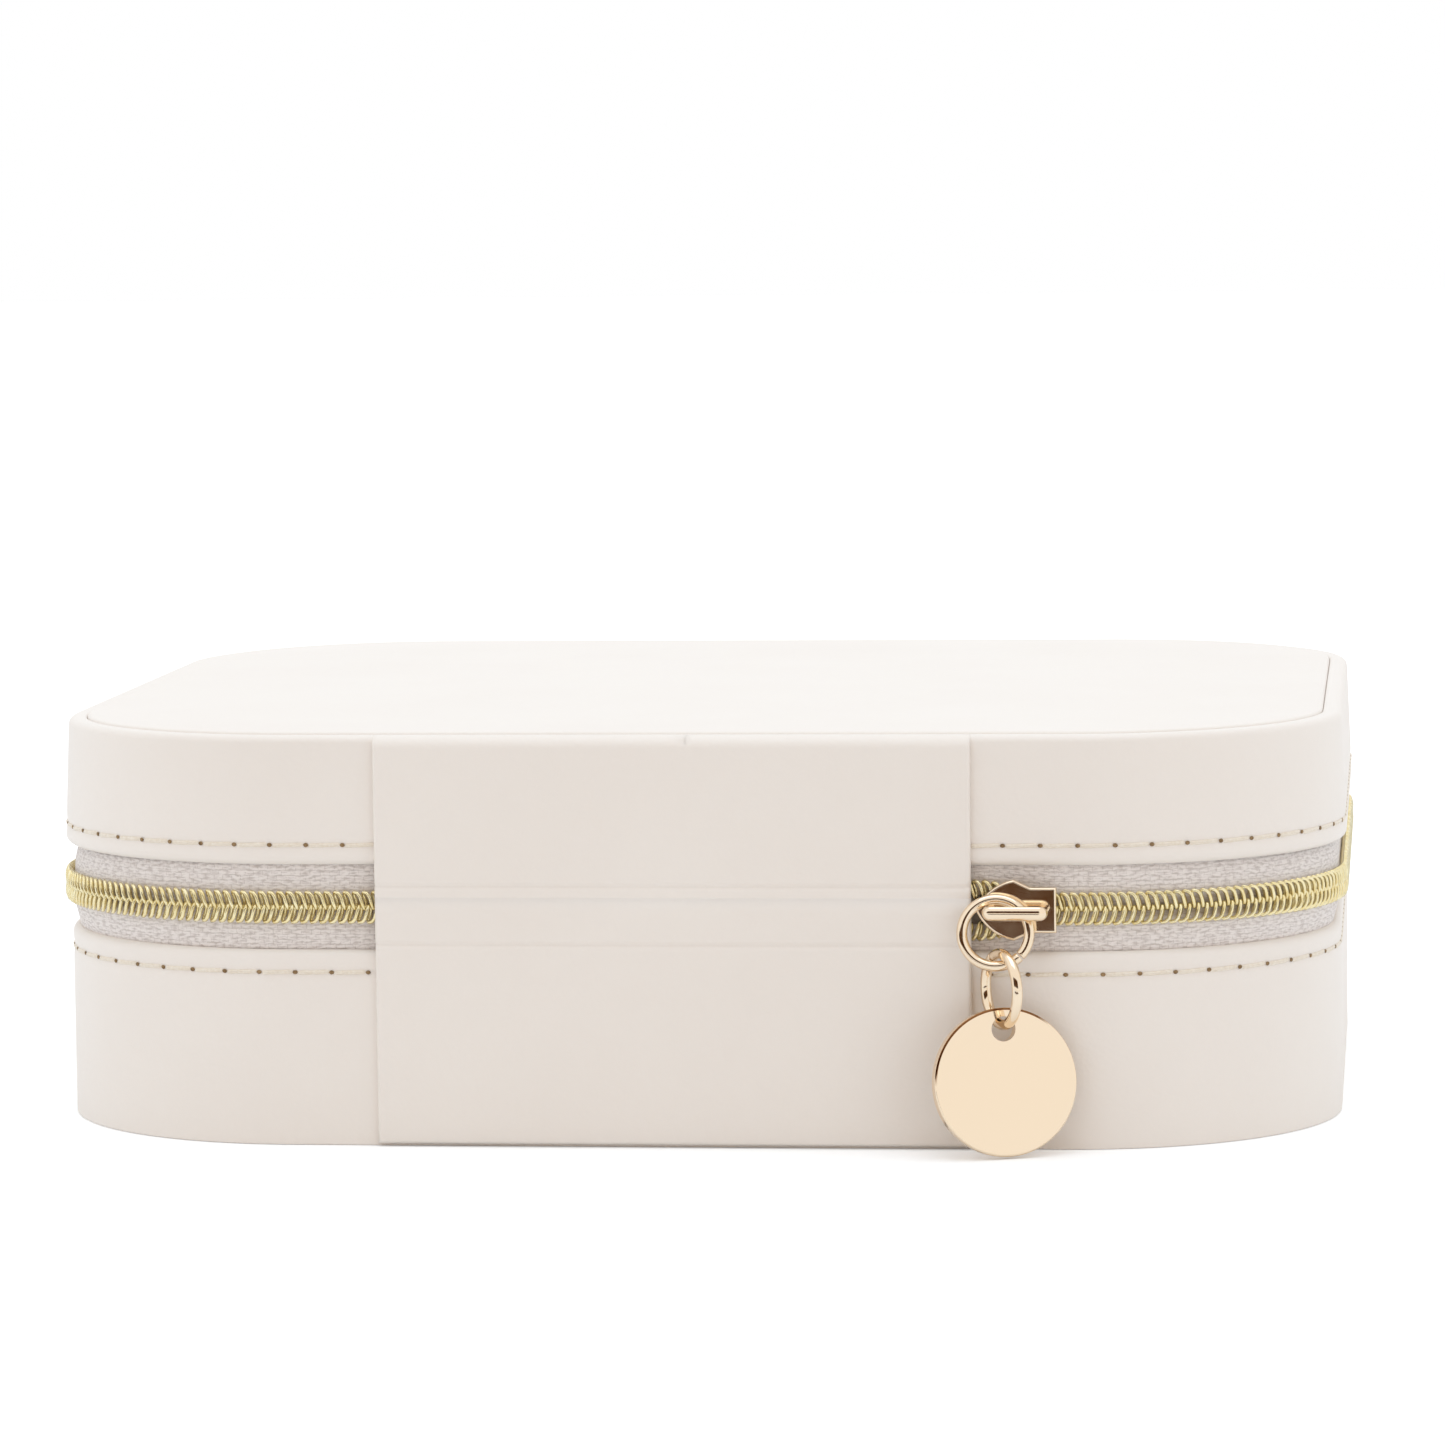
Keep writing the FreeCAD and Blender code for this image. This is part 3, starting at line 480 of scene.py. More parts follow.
brow = panel_high.z - PANEL_CROWN
profile = [(PANEL_INSET, panel_low.z)]
profile += arc(PANEL_INSET + PANEL_ROLL, brow - PANEL_ROLL, PANEL_ROLL, 180, 90)
profile += [(PANEL_INSET + inset * MM, brow) for inset in PANEL_LOOPS]
bm = sweep(profile, PANEL_STEP, closed=False)
close_to_centre(bm, PANEL_RINGS)
for vert in bm.verts:
    if vert.co.z > brow - NEAR:
        crown = 1 - math.exp((PANEL_INSET - inset_of(vert.co)) / PANEL_SHOULDER)
        wave = noise.noise(vert.co * PANEL_RIPPLES) * PANEL_WAVE
        vert.co.z += crown * (PANEL_CROWN - PANEL_WAVE + wave)
panel = show("top_panel", to_mesh(bm, "top_panel"), leather, ["lid_panel"])
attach(panel, "lid")

# Zip tapes: woven bands sewn behind the hems. The upper one follows the lid all round but
# bends beside the spine, where it stays tied to the base. The weave lies on the unrolled band.
TAPE = 0.4 * MM
TAPE_EDGE = 0.15 * MM
TAPE_TUCK = 5 * MM
TAPE_STEP = 1.5 * MM
TAPE_ROWS = 4
SEWN_UNDER = 1.2 * MM
SEWN_FROM = 2.2 * MM
SEWN_REACH = 2.6 * MM
BEND_REACH = 22 * MM
ZIP_BULGE = 0.9 * MM
BULGE_FLAT = 2 * MM
BULGE_FALL = 5 * MM
SPREAD_UP = 1.5 * MM
SPREAD_DOWN = 1.9 * MM
TAPE_DARK = (0.58, 0.515, 0.485, 1)
TAPE_PALE = (0.855, 0.80, 0.77, 1)
WEFT = 1.2
WARP = 0.6
THREAD_GAP = 0.08
THREAD_WOBBLE = (0.35, 0.22, 0)
THREAD_DRAWN = (1.0, 3.6, 1)
GAP_SINKS = -0.16

ZIP_LEVEL = (base_high.z + lid_low.z) / 2
tape_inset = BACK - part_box("zip_tape_lower")[1].y
slider_low, slider_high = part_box("slider_body")


def zip_bulge(way, level):
    """How far the closed zip stands out at a distance round the box and a level."""
    return ZIP_BULGE * side_swell(way) * ease(1 - (abs(level - ZIP_LEVEL) - BULGE_FLAT) / BULGE_FALL)


def opening(way):
    """Share of the full distance that the zip's halves stand apart, from the slider to the spine."""
    return ease((-slider_low.x - way) / (slider_high.x - slider_low.x))


def tape_band(name, sewn, side, spread, nodes):
    """Tape from its sewn part to its edge at the chain, open under the spine."""
    edge = ZIP_LEVEL + side * TAPE_EDGE
    rows = [sewn + (edge - sewn) * row / TAPE_ROWS for row in range(TAPE_ROWS + 1)]
    profile = [(tape_inset, level) for level in rows]
    profile += [(tape_inset + TAPE, level) for level in reversed(rows)]
    bm = sweep(profile, TAPE_STEP)
    middles = {face: face.calc_center_median() for face in bm.faces}
    tucked = [
        face for face, spot in middles.items() if spot.y > 0 and abs(spot.x) < spine_high.x - TAPE_TUCK
    ]
    bmesh.ops.delete(bm, geom=tucked, context="FACES")
    layer = bm.loops.layers.uv.new("unrolled")
    for face in bm.faces:
        for loop in face.loops:
            loop[layer].uv = (way_round(loop.vert.co) / MM, loop.vert.co.z / MM)
    for vert in bm.verts:
        way = way_round(vert.co)
        vert.co += outward(vert.co) * zip_bulge(way, vert.co.z)
        vert.co.z += side * spread * opening(way) * (vert.co.z - sewn) / (edge - sewn)
    return show(name, to_mesh(bm, name), tape, nodes)


def bend_beside_spine(piece):
    """Let a piece of the lid's zip half stay with the base at the spine and leave it further on."""
    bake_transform(piece, "base", "lid", (0, 0, ZIP_LEVEL), (0, 0, lid_low.z))
    for vert, weight in zip(piece.data.vertices, piece.data.attributes["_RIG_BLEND"].data):
        way = way_round(vert.co)
        beyond = min(way, ROUND - way) - spine_high.x
        sewn = ease((vert.co.z - ZIP_LEVEL - SEWN_FROM) / SEWN_REACH)
        weight.value = max(sewn, ease(beyond / BEND_REACH))


tape, tree, shader = new_material("zip_tape", Sheen_Weight=0.25, Sheen_Roughness=0.6)
unrolled = add_node(tree, "UVMap", {}, {})
unrolled.uv_map = "unrolled"
wobble = add_node(tree, "TexNoise", {"Scale": 1.7, "Detail": 2}, {"Vector": unrolled.outputs["UV"]})
shift = add_node(tree, "VectorMath", {1: THREAD_WOBBLE}, {0: wobble.outputs["Color"]})
shift.operation = "MULTIPLY"
threads = add_node(tree, "VectorMath", {}, {0: unrolled.outputs["UV"], 1: shift.outputs["Vector"]})
bricks = {"Scale": 1, "Mortar Size": THREAD_GAP, "Mortar Smooth": 1, "Brick Width": WEFT, "Row Height": WARP}
weave = add_node(tree, "TexBrick", bricks, {"Vector": threads.outputs["Vector"]})
drawn = add_node(tree, "VectorMath", {1: THREAD_DRAWN}, {0: threads.outputs["Vector"]})
drawn.operation = "MULTIPLY"
dashes = grain(tree, drawn.outputs["Vector"], 1)
raised = add_node(tree, "Math", {1: GAP_SINKS}, {0: weave.outputs["Fac"], 2: dashes})
raised.operation = "MULTIPLY_ADD"
tint(tree, shader, raised.outputs["Value"], TAPE_DARK, TAPE_PALE, 0.3, 0.56)
vary_roughness(tree, shader, dashes, 0.75, 0.92)
emboss(tree, shader, raised.outputs["Value"], 0.0002, 0.4)

lower = tape_band("tape_lower", base_high.z - SEWN_UNDER, -1, SPREAD_DOWN, ["zip_tape_lower"])
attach(lower, "base")
upper_nodes = ["zip_tape_upper", "zip_tape_flex_left", "zip_tape_flex_right"]
upper = tape_band("tape_upper", lid_low.z + SEWN_UNDER, 1, SPREAD_UP, upper_nodes)
bend_beside_spine(upper)

# Zip coils: two continuous spirals of metallised wire sewn to the tapes, whose heads mesh at the
# middle. Each turn is a leaning pair of legs, and the wire steps on at the caps.
COIL_WIRE = 0.48 * MM
COIL_LEAN = 0.62 * MM
COIL_STAGGER = 0.42 * MM
COIL_CAP = math.radians(62)
COIL_PITCH = 1.17 * MM
COIL_HALF = 2.1 * MM
COIL_MESH = 0.44 * MM
COIL_FRONT = 0.02 * MM
COIL_BACK = 1.2 * MM
COIL_TUCK = 2 * MM
COIL_STEPS = 12
COIL_DEEP = (0.84, 0.69, 0.34, 1)
COIL_PALE = (0.98, 0.89, 0.59, 1)


def coil_mesh(name, side, spread, offset):
    """Spiral of one zip half, above (1) or below (-1) the zip's middle."""
    radius = COIL_WIRE / 2
    outer, head = COIL_HALF - radius, radius - COIL_MESH
    middle, half_tall = (outer + head) / 2, (outer - head) / 2
    half_deep = (COIL_BACK - COIL_FRONT) / 2 - radius
    start, end = spine_high.x - COIL_TUCK, ROUND - spine_high.x + COIL_TUCK
    count = round((end - start) / COIL_PITCH)
    pitch = (end - start) / count
    path = []
    for step in range(count * COIL_STEPS + 1):
        turn = 2 * math.pi * step / COIL_STEPS
        caps = round(turn / (2 * math.pi))
        past_cap = turn - 2 * math.pi * caps
        stepped = caps + ease((past_cap / COIL_CAP + 1) / 2) - 0.5
        way = start + offset + pitch * stepped + COIL_LEAN * (1 - math.cos(turn)) / 2
        way += COIL_STAGGER * max(0.0, -math.sin(turn))
        level = ZIP_LEVEL + side * (middle + half_tall * math.cos(turn))
        inset = (COIL_FRONT + COIL_BACK) / 2 - half_deep * math.sin(turn) - zip_bulge(way, level)
        path.append(outline_at(way, inset, level + side * spread * opening(way)))
    return wire_mesh(name, [path], radius)


coil, tree, shader = new_material("zip_coil", Metallic=0.85)
place = object_place(tree)
tint(tree, shader, grain(tree, place, 900, 3), COIL_DEEP, COIL_PALE)
vary_roughness(tree, shader, grain(tree, place, 2500, 3), 0.16, 0.30)

row = coil_mesh("coil_lower", -1, SPREAD_DOWN, COIL_PITCH / 2)
row = show("coil_lower", row, coil, ["zip_teeth_lower", "zip_teeth_open_lower"])
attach(row, "base")
row = coil_mesh("coil_upper", 1, SPREAD_UP, 0)
nodes = ["zip_teeth_upper", "zip_teeth_flex_left", "zip_teeth_flex_right", "zip_teeth_open_upper"]
bend_beside_spine(show("coil_upper", row, coil, nodes))

# Spine: one leather panel over the back and the zip's ends, pared thin and turned over the rim.
# It has a pressed fold line where the lid turns and another beside the base hem, and it bends.
SPINE_ROUND = 0.45 * MM
FOLD_DEEP = 0.22 * MM
FOLD_HALF = 0.30 * MM
FOLDS = (31.8 * MM, 24.7 * MM)
FOLD_REACH = 1.4 * MM
SPINE_WAVE = 0.05 * MM
SPINE_RIPPLES = 90
SPINE_ROW = 2 * MM
SPINE_COLUMN = 3 * MM
HEAD_ROUND = 1.6 * MM
SEAM_X = -1.9 * MM
SEAM_HALF = 0.18 * MM
SEAM_DEEP = 0.25 * MM
HAIR = 0.05 * MM

spine_top = Vector((spine_high.x, spine_high.y, lid_high.z + HAIR))
bm = bmesh.new()
middle = Matrix.Translation((spine_low + spine_top) / 2)
bmesh.ops.create_cube(bm, size=1, matrix=middle @ Matrix.Diagonal((*(spine_top - spine_low), 1)))
outer = [edge for edge in bm.edges if all(vert.co.y > spine_top.y - NEAR for vert in edge.verts)]
outer = [edge for edge in outer if any(vert.co.z < spine_top.z - NEAR for vert in edge.verts)]
bmesh.ops.bevel(bm, geom=outer, offset=SPINE_ROUND, segments=4, profile=0.5, affect="EDGES", material=-1)
head = spine_top.z - HEAD_ROUND
levels = [spine_low.z + row * SPINE_ROW for row in range(1, 24)]
levels += [head + HEAD_ROUND * math.sin(math.radians(row * 10)) for row in range(9)]
levels += [fold + row * FOLD_REACH / 8 for fold in FOLDS for row in range(-8, 9)]
cuts = [(Vector((0, 0, 1)), level) for level in levels]
columns = [column * SPINE_COLUMN for column in range(-11, 12)]
columns += [SEAM_X + side * SEAM_HALF for side in (-1, 0, 1)]
cuts += [(Vector((1, 0, 0)), column) for column in columns]
for normal, distance in cuts:
    everything = [*bm.verts, *bm.edges, *bm.faces]
    bmesh.ops.bisect_plane(bm, geom=everything, plane_co=normal * distance, plane_no=normal)
for vert in bm.verts:
    if vert.co.y > spine_low.y + NEAR:
        press = sum(math.exp(-(((vert.co.z - fold) / FOLD_HALF) ** 2)) for fold in FOLDS)
        wave = noise.noise(vert.co * SPINE_RIPPLES) - 1
        vert.co.y += wave * SPINE_WAVE - press * FOLD_DEEP
        climb = min(1.0, max(0.0, (vert.co.z - head) / HEAD_ROUND))
        vert.co.y -= HEAD_ROUND * (1 - math.sqrt(1 - climb * climb))
        if abs(vert.co.x - SEAM_X) < NEAR and climb > 0.5:
            vert.co -= Vector((0, math.sqrt(1 - climb * climb), climb)) * SEAM_DEEP
    else:
        climb = min(1.0, max(0.0, (vert.co.z - lid_high.z + RIM_ROUND) / RIM_ROUND))
        vert.co.y -= RIM_ROUND * (1 - math.sqrt(1 - climb * climb)) + HAIR
spine = show("spine", to_mesh(bm, "spine"), leather, ["spine_lower", "spine_upper"])
fold = Vector((0, spine_top.y, FOLDS[0]))
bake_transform(spine, "base", "lid", fold - Vector((0, 0, FOLD_REACH)), fold + Vector((0, 0, FOLD_REACH)))

# Tray lining: suede cloth over floor and walls, wrapped over the tray's rim and glued down
# behind the zip. Dividers are boards wrapped in the same cloth.
LINING_WRAP = 0.3 * MM
LINING_THICK = 0.8 * MM
LINING_BEAD = 0.6 * MM
LINING_ROLL = 1.6 * MM
ZIP_CHANNEL = 3.3 * MM
WRAP_DOWN = 2.5 * MM
LINING_STEP = 2 * MM
LINING_LOOPS = (10, 14, 18)
LINING_RINGS = 8
SUEDE_DARK = (0.66, 0.58, 0.51, 1)
SUEDE_PALE = (0.80, 0.73, 0.66, 1)

core_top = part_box("base_core")[1].z
tray_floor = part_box("divider_left")[0].z - HAIR
LINING_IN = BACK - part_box("base_lining")[1].y + LINING_THICK


def lining(name, rim, up, floor, node, body):
    """Cloth wrapped over a rim and down (or up) a wall to the floor (or ceiling)."""
    def turned(points):
        return [(inset, rim + up * level) for inset, level in points]

    outer, bead = ZIP_CHANNEL - LINING_WRAP, LINING_BEAD
    profile = turned([(outer, -WRAP_DOWN)])
    profile += turned(arc(outer + bead, LINING_WRAP - bead, bead, 180, 90))
    profile += turned(arc(LINING_IN - bead, LINING_WRAP - bead, bead, 90, 0))
    deep = up * (floor - rim) + LINING_ROLL
    profile += turned([(LINING_IN, deep * share) for share in (0.25, 0.5, 0.75)])
    profile += turned(arc(LINING_IN + LINING_ROLL, deep, LINING_ROLL, 180, 270))
    profile += [(inset * MM, floor) for inset in LINING_LOOPS]
    bm = sweep(profile, LINING_STEP, closed=False)
    close_to_centre(bm, LINING_RINGS)
    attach(show(name, to_mesh(bm, name), suede, [node]), body)


suede, tree, shader = new_material("suede", Sheen_Weight=0.5, Sheen_Roughness=0.45)
place = object_place(tree)
nap = grain(tree, place, 2600, 3)
brushed = add_node(tree, "Math", {1: 0.7}, {0: grain(tree, place, 55, 3), 2: nap})
brushed.operation = "MULTIPLY_ADD"
tint(tree, shader, brushed.outputs["Value"], SUEDE_DARK, SUEDE_PALE)
vary_roughness(tree, shader, nap, 0.85, 0.98)
emboss(tree, shader, nap, 0.00012, 0.5)

lining("tray_lining", core_top, 1, tray_floor, "base_lining", "base")
for node in ("divider_left", "divider_right", "divider_cross"):
    paint(node, suede)

# Ring rolls: suede bolsters filled with foam, drawn in and gathered at their ends. Each is a
# turned profile, whose ends are given as radius and distance from the end in millimetres for a
# roll of the full radius. It has pleats near its ends and a slight waviness along it.
ROLLS = 6
FULL_RADIUS = 6.7
ROLL_END = ((0, 2.2), (1.0, 1.1), (2.4, 0.35), (4.0, 0), (5.1, 0.25), (5.8, 0.9), (6.15, 1.8), (6.3, 3.2))
BELLY_STEPS = 8
BELLY_HALF = 0.86
BELLY_THINS = 0.05
ROLL_STEPS = 48
PLEATS = 14
PLEAT_DEEP = 0.28 * MM
PLEATS_FROM = 0.82
PLEATS_RUN = 0.14
PLEATS_OUT = 3 * MM
ROLL_WAVE = 0.12 * MM
ROLL_RIPPLES = 130

for number in range(1, ROLLS + 1):
    node = f"ring_roll_{number}"
    low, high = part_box(node)
    centre = (low + high) / 2
    half, fat = (high.x - low.x) / 2, (high.z - low.z) / 2
    outline = [(fat * out / FULL_RADIUS, half - back * MM) for out, back in ROLL_END]
    for step in range(BELLY_STEPS, -1, -1):
        share = step / BELLY_STEPS
        outline.append((fat * (1 - BELLY_THINS * share**2), half * BELLY_HALF * share))
    outline += [(out, -along) for out, along in reversed(outline[:-1])]
    bm = bmesh.new()
    verts = [bm.verts.new((along, 0, out)) for out, along in outline]
    edges = [bm.edges.new(pair) for pair in zip(verts, verts[1:])]
    bmesh.ops.spin(bm, geom=edges, axis=(1, 0, 0), angle=2 * math.pi, steps=ROLL_STEPS, use_merge=True)
    bmesh.ops.remove_doubles(bm, verts=bm.verts, dist=NEAR)
    for vert in bm.verts:
        out = math.hypot(vert.co.y, vert.co.z)
        angle = math.atan2(vert.co.z, vert.co.y)
        near_end = ease((abs(vert.co.x) / half - PLEATS_FROM) / PLEATS_RUN) * ease(out / PLEATS_OUT)
        pleat = PLEAT_DEEP * near_end * (0.5 + 0.5 * math.cos(PLEATS * angle))
        wave = ROLL_WAVE * (noise.noise(vert.co * ROLL_RIPPLES + Vector((0, number, 0))) - 1)
        if out > NEAR:
            grow = 1 + (wave * ease(out / fat) - pleat) / out
            vert.co.y *= grow
            vert.co.z *= grow
    bmesh.ops.translate(bm, vec=centre, verts=bm.verts)
    roll = show(f"roll_{number}", to_mesh(bm, f"roll_{number}"), suede, [node])
    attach(roll, "base")

# Inside of the lid: the same suede lining, and a mirror held by a soft cloth frame. The
# mirror is the CAD plate with a silvered finish; the frame is a rounded strip round it.
FRAME_INSET = 22 * MM
FRAME_WIDE = 3.9 * MM
FRAME_EDGE = 0.6 * MM
SILVER_DIM = (0.80, 0.82, 0.83, 1)
SILVER = (0.85, 0.865, 0.87, 1)

lid_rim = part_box("lid_core")[0].z
frame_low, frame_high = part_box("mirror_frame")
lining("lid_lining_cloth", lid_rim, -1, frame_high.z + HAIR, "lid_lining", "lid")

half = FRAME_WIDE / 2
shoulder = frame_high.z - FRAME_EDGE
profile = [(FRAME_INSET, frame_high.z)]
for step in range(11):
    turn = math.pi * step / 10
    inset = FRAME_INSET + half - half * math.cos(turn)
    profile += [(inset, shoulder - (shoulder - frame_low.z) * math.sin(turn))]
profile += [(FRAME_INSET + FRAME_WIDE, frame_high.z)]
bm = sweep(profile, LINING_STEP)
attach(show("mirror_surround", to_mesh(bm, "mirror_surround"), suede, ["mirror_frame"]), "lid")

mirror, tree, shader = new_material("mirror", Metallic=1.0)
haze = grain(tree, object_place(tree), 30, 4)
tint(tree, shader, haze, SILVER_DIM, SILVER)
vary_roughness(tree, shader, haze, 0.015, 0.05)
paint("lid_mirror", mirror)

# Slider and pull in polished light gold. The slider's plates and the blank tag are CAD shapes, and
# the tag has a painted reflection, a dark line at its upper edge. The bridge is a rounded strap, and the two
# jump rings are bent wire with a split, where their ends meet.
RING_LEAN = math.radians(16)
LINK_TURN = math.radians(60)
WIRE = 1.3 * MM
WIRE_SIDES = 16
RING_STEPS = 72
RING_SPLIT = math.radians(-44)
LINK_SPLIT = math.radians(120)
SPLIT = math.radians(2.6)
SPLIT_BEVEL = 0.08 * MM
GOLD_DEEP = (0.89, 0.72, 0.52, 1)
GOLD_PALE = (0.945, 0.785, 0.595, 1)
TAG_GOLD = (0.925, 0.76, 0.567, 1)
TAG_PAINTED_REFLECTION = (0.24, 0.10, 0.035, 1)
TAG_FACE = (-0.366, 0.920, 0.139)
TAG_RADIUS = 8.9 * MM
REFLECTION_IN = 0.17 * MM
REFLECTION_HALF = 0.13 * MM
REFLECTION_TOWARDS = (0.45, 0, 0.89)
REFLECTION_FADES = 2.5 * MM
REFLECTION_FULL = 6 * MM
STRAP = 1.1 * MM
STRAP_LEG = 0.85 * MM
STRAP_BEND = 0.75 * MM


def jump_ring(name, node, body, normal, split, outer):
    """Wire bent round to a ring that is open by a hair at an angle from the ring's -X side."""
    low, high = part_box(node)
    across = Vector((0, 0, 1)).cross(normal).normalized()
    bm = bmesh.new()
    bmesh.ops.create_circle(bm, segments=WIRE_SIDES, radius=WIRE / 2)
    bmesh.ops.rotate(bm, verts=bm.verts, matrix=Matrix.Rotation(math.pi / 2, 3, "X"))
    bmesh.ops.translate(bm, vec=((outer - WIRE) / 2, 0, 0), verts=bm.verts)
    bmesh.ops.rotate(bm, verts=bm.verts, matrix=Matrix.Rotation(split + SPLIT / 2, 3, "Z"))
    bmesh.ops.spin(bm, geom=bm.edges[:], axis=(0, 0, 1), angle=2 * math.pi - SPLIT, steps=RING_STEPS)
    ends = bmesh.ops.holes_fill(bm, edges=[edge for edge in bm.edges if edge.is_boundary])["faces"]
    rims = {edge for face in ends for edge in face.edges}
    bmesh.ops.bevel(
        bm, geom=list(rims), offset=SPLIT_BEVEL, segments=2, profile=0.5, affect="EDGES", material=-1
    )
    stand = Matrix((across, normal.cross(across), normal)).transposed()
    bmesh.ops.rotate(bm, verts=bm.verts, matrix=stand)
    bmesh.ops.translate(bm, vec=(low + high) / 2, verts=bm.verts)
    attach(show(name, to_mesh(bm, name), gold, [node]), body)


def polish(tree, shader, place):
    """Fine smears that a polished and handled metal has."""
    smear = grain(tree, place, 450, 5)
    vary_roughness(tree, shader, smear, 0.05, 0.14)
    emboss(tree, shader, smear, 0.00002, 0.15)


gold, tree, shader = new_material("gold", Metallic=1.0)
place = object_place(tree)
tint(tree, shader, grain(tree, place, 120, 3), GOLD_DEEP, GOLD_PALE)
polish(tree, shader, place)
paint("slider_body", gold)

# Tag gold with a painted reflection: a thin band at the tag's rim turns dark brown on its upper side,
# standing in for the shaded wall that the edge reflects.
tag_gold_painted_reflection, tree, shader = new_material("tag_gold_painted_reflection", Metallic=1.0)
tag_low, tag_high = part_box("pull_tag")
place = object_place(tree)
off_centre = add_node(tree, "VectorMath", {1: (tag_low + tag_high) / 2}, {0: place})
off_centre.operation = "SUBTRACT"
across = add_node(tree, "VectorMath", {1: TAG_FACE}, {0: off_centre.outputs["Vector"]})
across.operation = "CROSS_PRODUCT"
distance = add_node(tree, "VectorMath", {}, {0: across.outputs["Vector"]})
distance.operation = "LENGTH"
edge = add_node(tree, "Math", {1: TAG_RADIUS - REFLECTION_IN, 2: REFLECTION_HALF}, {0: distance.outputs["Value"]})
edge.operation = "COMPARE"
towards = add_node(tree, "VectorMath", {1: REFLECTION_TOWARDS}, {0: off_centre.outputs["Vector"]})
towards.operation = "DOT_PRODUCT"
limits = {"From Min": REFLECTION_FADES, "From Max": REFLECTION_FULL}
upper = add_node(tree, "MapRange", limits, {"Value": towards.outputs["Value"]})
dark = add_node(tree, "Math", {}, {0: edge.outputs["Value"], 1: upper.outputs["Result"]})
dark.operation = "MULTIPLY"
tint(tree, shader, dark.outputs["Value"], TAG_GOLD, TAG_PAINTED_REFLECTION)
polish(tree, shader, place)
paint("pull_tag", tag_gold_painted_reflection)

low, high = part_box("slider_bridge")
middle, front = (low.z + high.z) / 2, high.y - STRAP / 2
ends = low.x + STRAP / 2, high.x - STRAP / 2
path = []
for end, inward in zip(ends, (1, -1)):
    leg = [Vector((end, low.y + (front - STRAP_BEND - low.y) * step / 6, middle)) for step in range(6)]
    for step in range(9):
        angle = math.radians(90) * step / 8
        along, out = STRAP_BEND * (1 - math.cos(angle)), STRAP_BEND * (math.sin(angle) - 1)
        leg.append(Vector((end + inward * along, front + out, middle)))
    path += leg if inward > 0 else leg[::-1]
strap = wire_mesh("bridge", [path], STRAP / 2, 6)
for vert in strap.vertices:
    wide = ease((vert.co.y - high.y + 1.5 * STRAP) / STRAP)
    wide = STRAP_LEG + (high.z - low.z - STRAP_LEG) * wide
    vert.co.z = middle + (vert.co.z - middle) * wide / STRAP
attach(show("bridge", strap, gold, ["slider_bridge"]), "slider")

ring_low, ring_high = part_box("pull_ring")
ring_normal = Vector((0, math.cos(RING_LEAN), math.sin(RING_LEAN)))
jump_ring("split_ring", "pull_ring", "ring", ring_normal, RING_SPLIT, ring_high.x - ring_low.x)
link_low, link_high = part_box("pull_link")
link_normal = Vector((math.sin(LINK_TURN), math.cos(LINK_TURN), 0))
jump_ring("split_link", "pull_link", "link", link_normal, LINK_SPLIT, link_high.z - link_low.z)

# Studio: a white floor under an even white sky and a soft box overhead. A warm card behind the
# camera tints the back a little. Only reflections show a dark card and a dark patch of floor.
FLOOR = (0.93, 0.93, 0.93, 1)
FLOOR_HALF = 4
FLOOR_LIFT = 0.2
SKY_COLOUR = (0.97, 0.985, 1, 1)
SKY = 1.01
SOFT_BOX = 3.0
SOFT_BOX_COLOUR = (0.72, 0.9, 1.06)
SOFT_BOX_PLACE = (0, 0.1, 1.2)
SOFT_BOX_SIZE = 1.0
WARM_CARD = (0.50, 0.28, 0.10, 1)
WARM_PLACE = (-0.12, 1.0, 0.22)
WARM_SIZE = 0.44
CARD_BLACK = (0.03, 0.012, 0.004, 1)
CARD_BROWN = (0.13, 0.058, 0.024, 1)
CARD_SIZE = 0.2
CARD_STANDS = Vector((0.07, 0.25, 0.083))
CARD_TALL = 0.19
CARD_LIES = Vector((0.03, 0.36, 0.0005))
PATCH_WIDE = 0.8
PATCH_LONG = 0.7
CAMERA_PLACE = Vector((-0.08753, 0.79279, 0.12087))
CAMERA_AIM = Vector((-0.00642, 0.070, 0.05162))
CAMERA_ROLL = math.radians(-0.681)
LENS = 151.65
SENSOR = 36

scene = bpy.context.scene


def seen_as_white(tree):
    """Factor that is 1 for camera and mirror rays, which show a plain white background."""
    rays = add_node(tree, "LightPath", {}, {}).outputs
    either = add_node(tree, "Math", {}, {0: rays["Is Camera Ray"], 1: rays["Is Glossy Ray"]})
    either.operation = "MAXIMUM"
    return either.outputs["Value"]


def stage_plane(name, size, matrix, material):
    bm = bmesh.new()
    bmesh.ops.create_grid(bm, x_segments=1, y_segments=1, size=size, matrix=matrix)
    mesh = to_mesh(bm, name)
    mesh.materials.append(material)
    plane = bpy.data.objects.new(name, mesh)
    scene.collection.objects.link(plane)
    return plane


floor, tree, shader = new_material("floor", Base_Color=FLOOR, Roughness=0.9)
glow = add_node(tree, "Emission", {"Color": (1, 1, 1, 1), "Strength": FLOOR_LIFT}, {})
lift = add_node(tree, "AddShader", {}, {0: shader.outputs["BSDF"], 1: glow.outputs["Emission"]})
looked_at = add_node(tree, "LightPath", {}, {}).outputs["Is Camera Ray"]
pick = add_node(tree, "MixShader", {}, {0: looked_at, 1: shader.outputs["BSDF"]})
tree.links.new(lift.outputs["Shader"], pick.inputs[2])
tree.links.new(pick.outputs["Shader"], tree.nodes["Material Output"].inputs["Surface"])
stage_plane("floor", FLOOR_HALF, Matrix.Identity(4), floor)

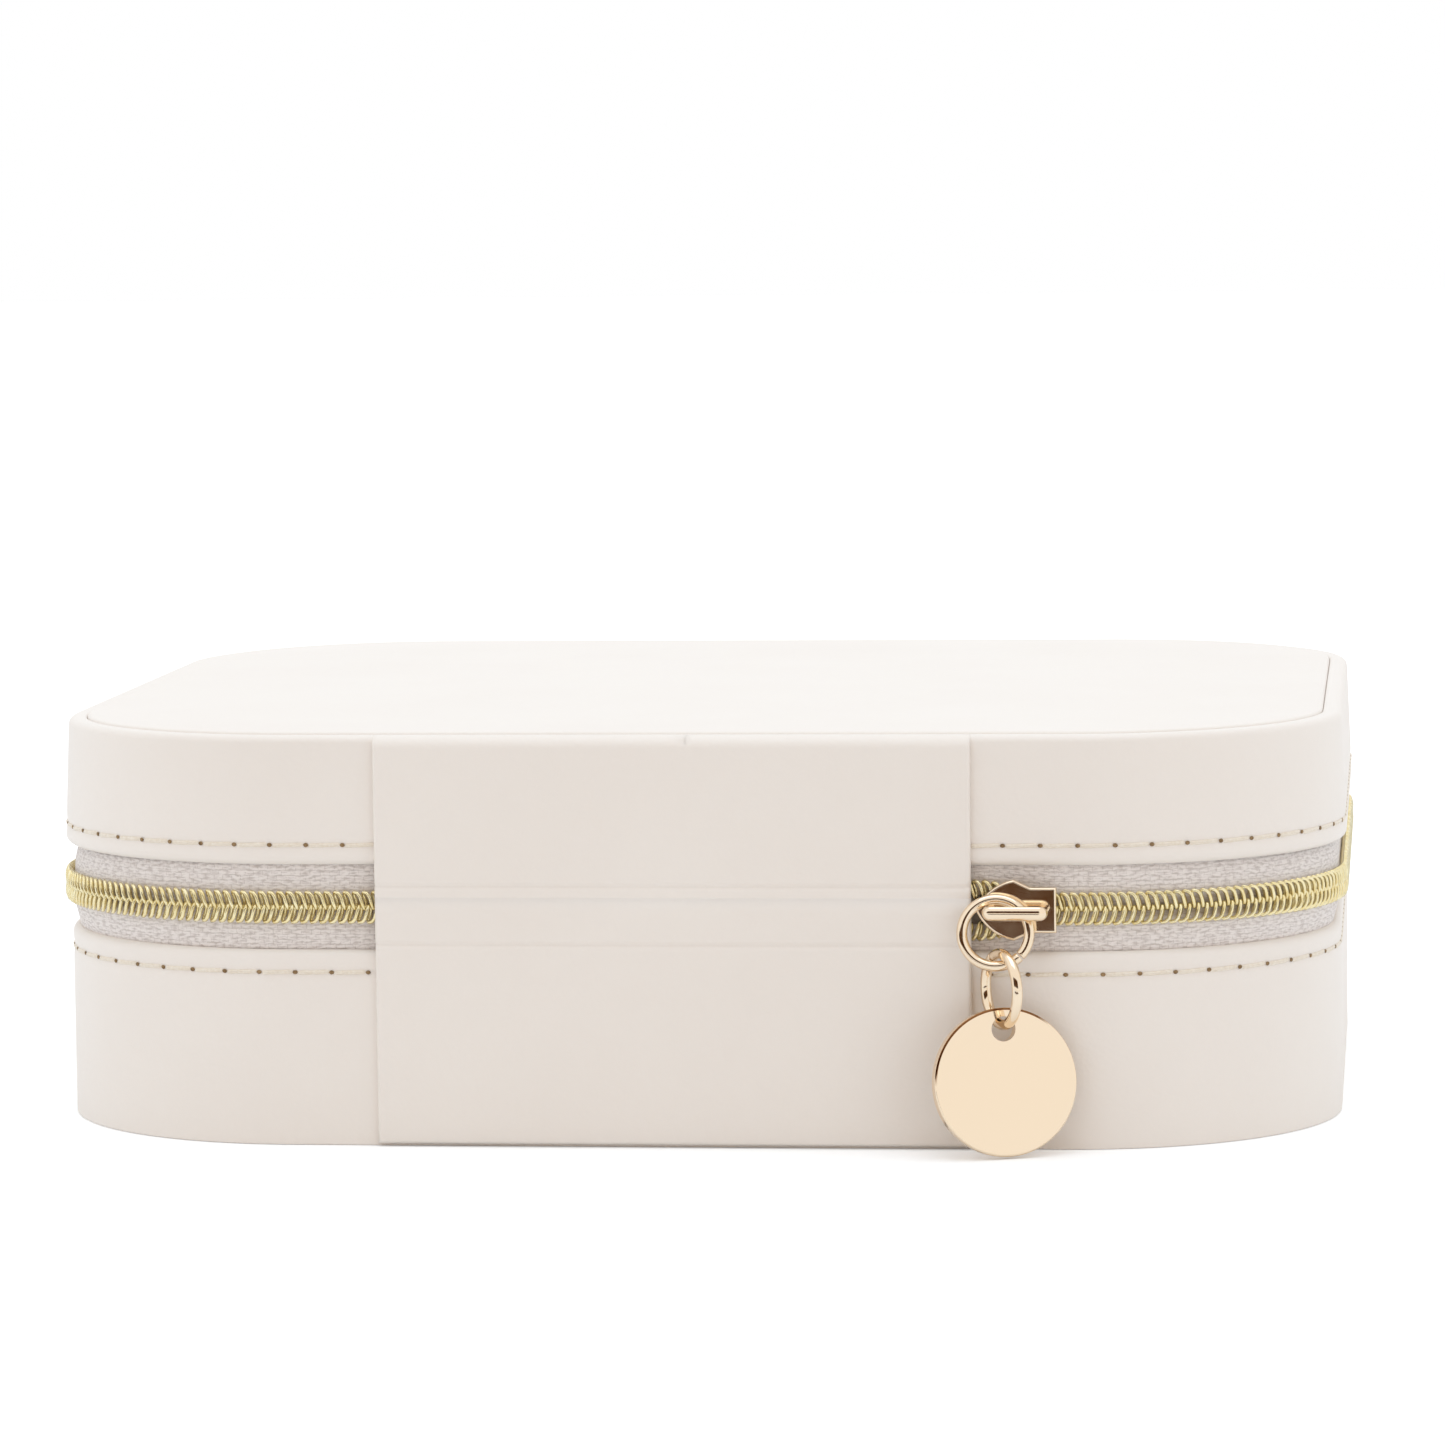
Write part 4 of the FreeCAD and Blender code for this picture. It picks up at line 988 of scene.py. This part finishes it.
card = new_material("warm_card", Base_Color=WARM_CARD, Roughness=0.9)[0]
upright = Matrix.Rotation(math.pi / 2, 4, "X")
flag = stage_plane("warm_card", WARM_SIZE, Matrix.Translation(WARM_PLACE) @ upright, card)
flag.visible_camera = flag.visible_glossy = False
card, tree, shader = new_material("dark_card", Roughness=0.9)
shader.inputs["Specular IOR Level"].default_value = 0
tint(tree, shader, grain(tree, object_place(tree), 110, 3), CARD_BLACK, CARD_BROWN)
stand = Matrix.Translation(CARD_STANDS) @ upright @ Matrix.Diagonal((1, CARD_TALL, 1, 1))
lie = Matrix.Translation(CARD_LIES) @ Matrix.Diagonal((PATCH_WIDE, PATCH_LONG, 1, 1))
for name, matrix in (("dark_card", stand), ("dark_floor", lie)):
    flag = stage_plane(name, CARD_SIZE, matrix, card)
    flag.visible_camera = flag.visible_diffuse = flag.visible_shadow = False

world = bpy.data.worlds.new("studio")
scene.world = world
world.use_nodes = True
tree = world.node_tree
light = tree.nodes["Background"]
light.inputs["Color"].default_value = SKY_COLOUR
light.inputs["Strength"].default_value = SKY
white = add_node(tree, "Background", {"Color": (1, 1, 1, 1), "Strength": 1}, {})
skies = light.outputs["Background"], white.outputs["Background"]
sky = add_node(tree, "MixShader", {}, {0: seen_as_white(tree), 1: skies[0], 2: skies[1]})
tree.links.new(sky.outputs["Shader"], tree.nodes["World Output"].inputs["Surface"])

lamp = bpy.data.lights.new("soft_box", "AREA")
lamp.energy = SOFT_BOX
lamp.color = SOFT_BOX_COLOUR
lamp.size = SOFT_BOX_SIZE
lamp_holder = bpy.data.objects.new("soft_box", lamp)
lamp_holder.location = SOFT_BOX_PLACE
scene.collection.objects.link(lamp_holder)

camera = bpy.data.cameras.new("camera")
camera.lens = LENS
camera.sensor_width = SENSOR
camera.clip_start = 0.01
camera_holder = bpy.data.objects.new("camera", camera)
aim = (CAMERA_AIM - CAMERA_PLACE).to_track_quat("-Z", "Y").to_matrix().to_4x4()
camera_holder.matrix_world = Matrix.Translation(CAMERA_PLACE) @ aim @ Matrix.Rotation(CAMERA_ROLL, 4, "Z")
scene.collection.objects.link(camera_holder)
scene.camera = camera_holder
scene.view_settings.view_transform = "Standard"
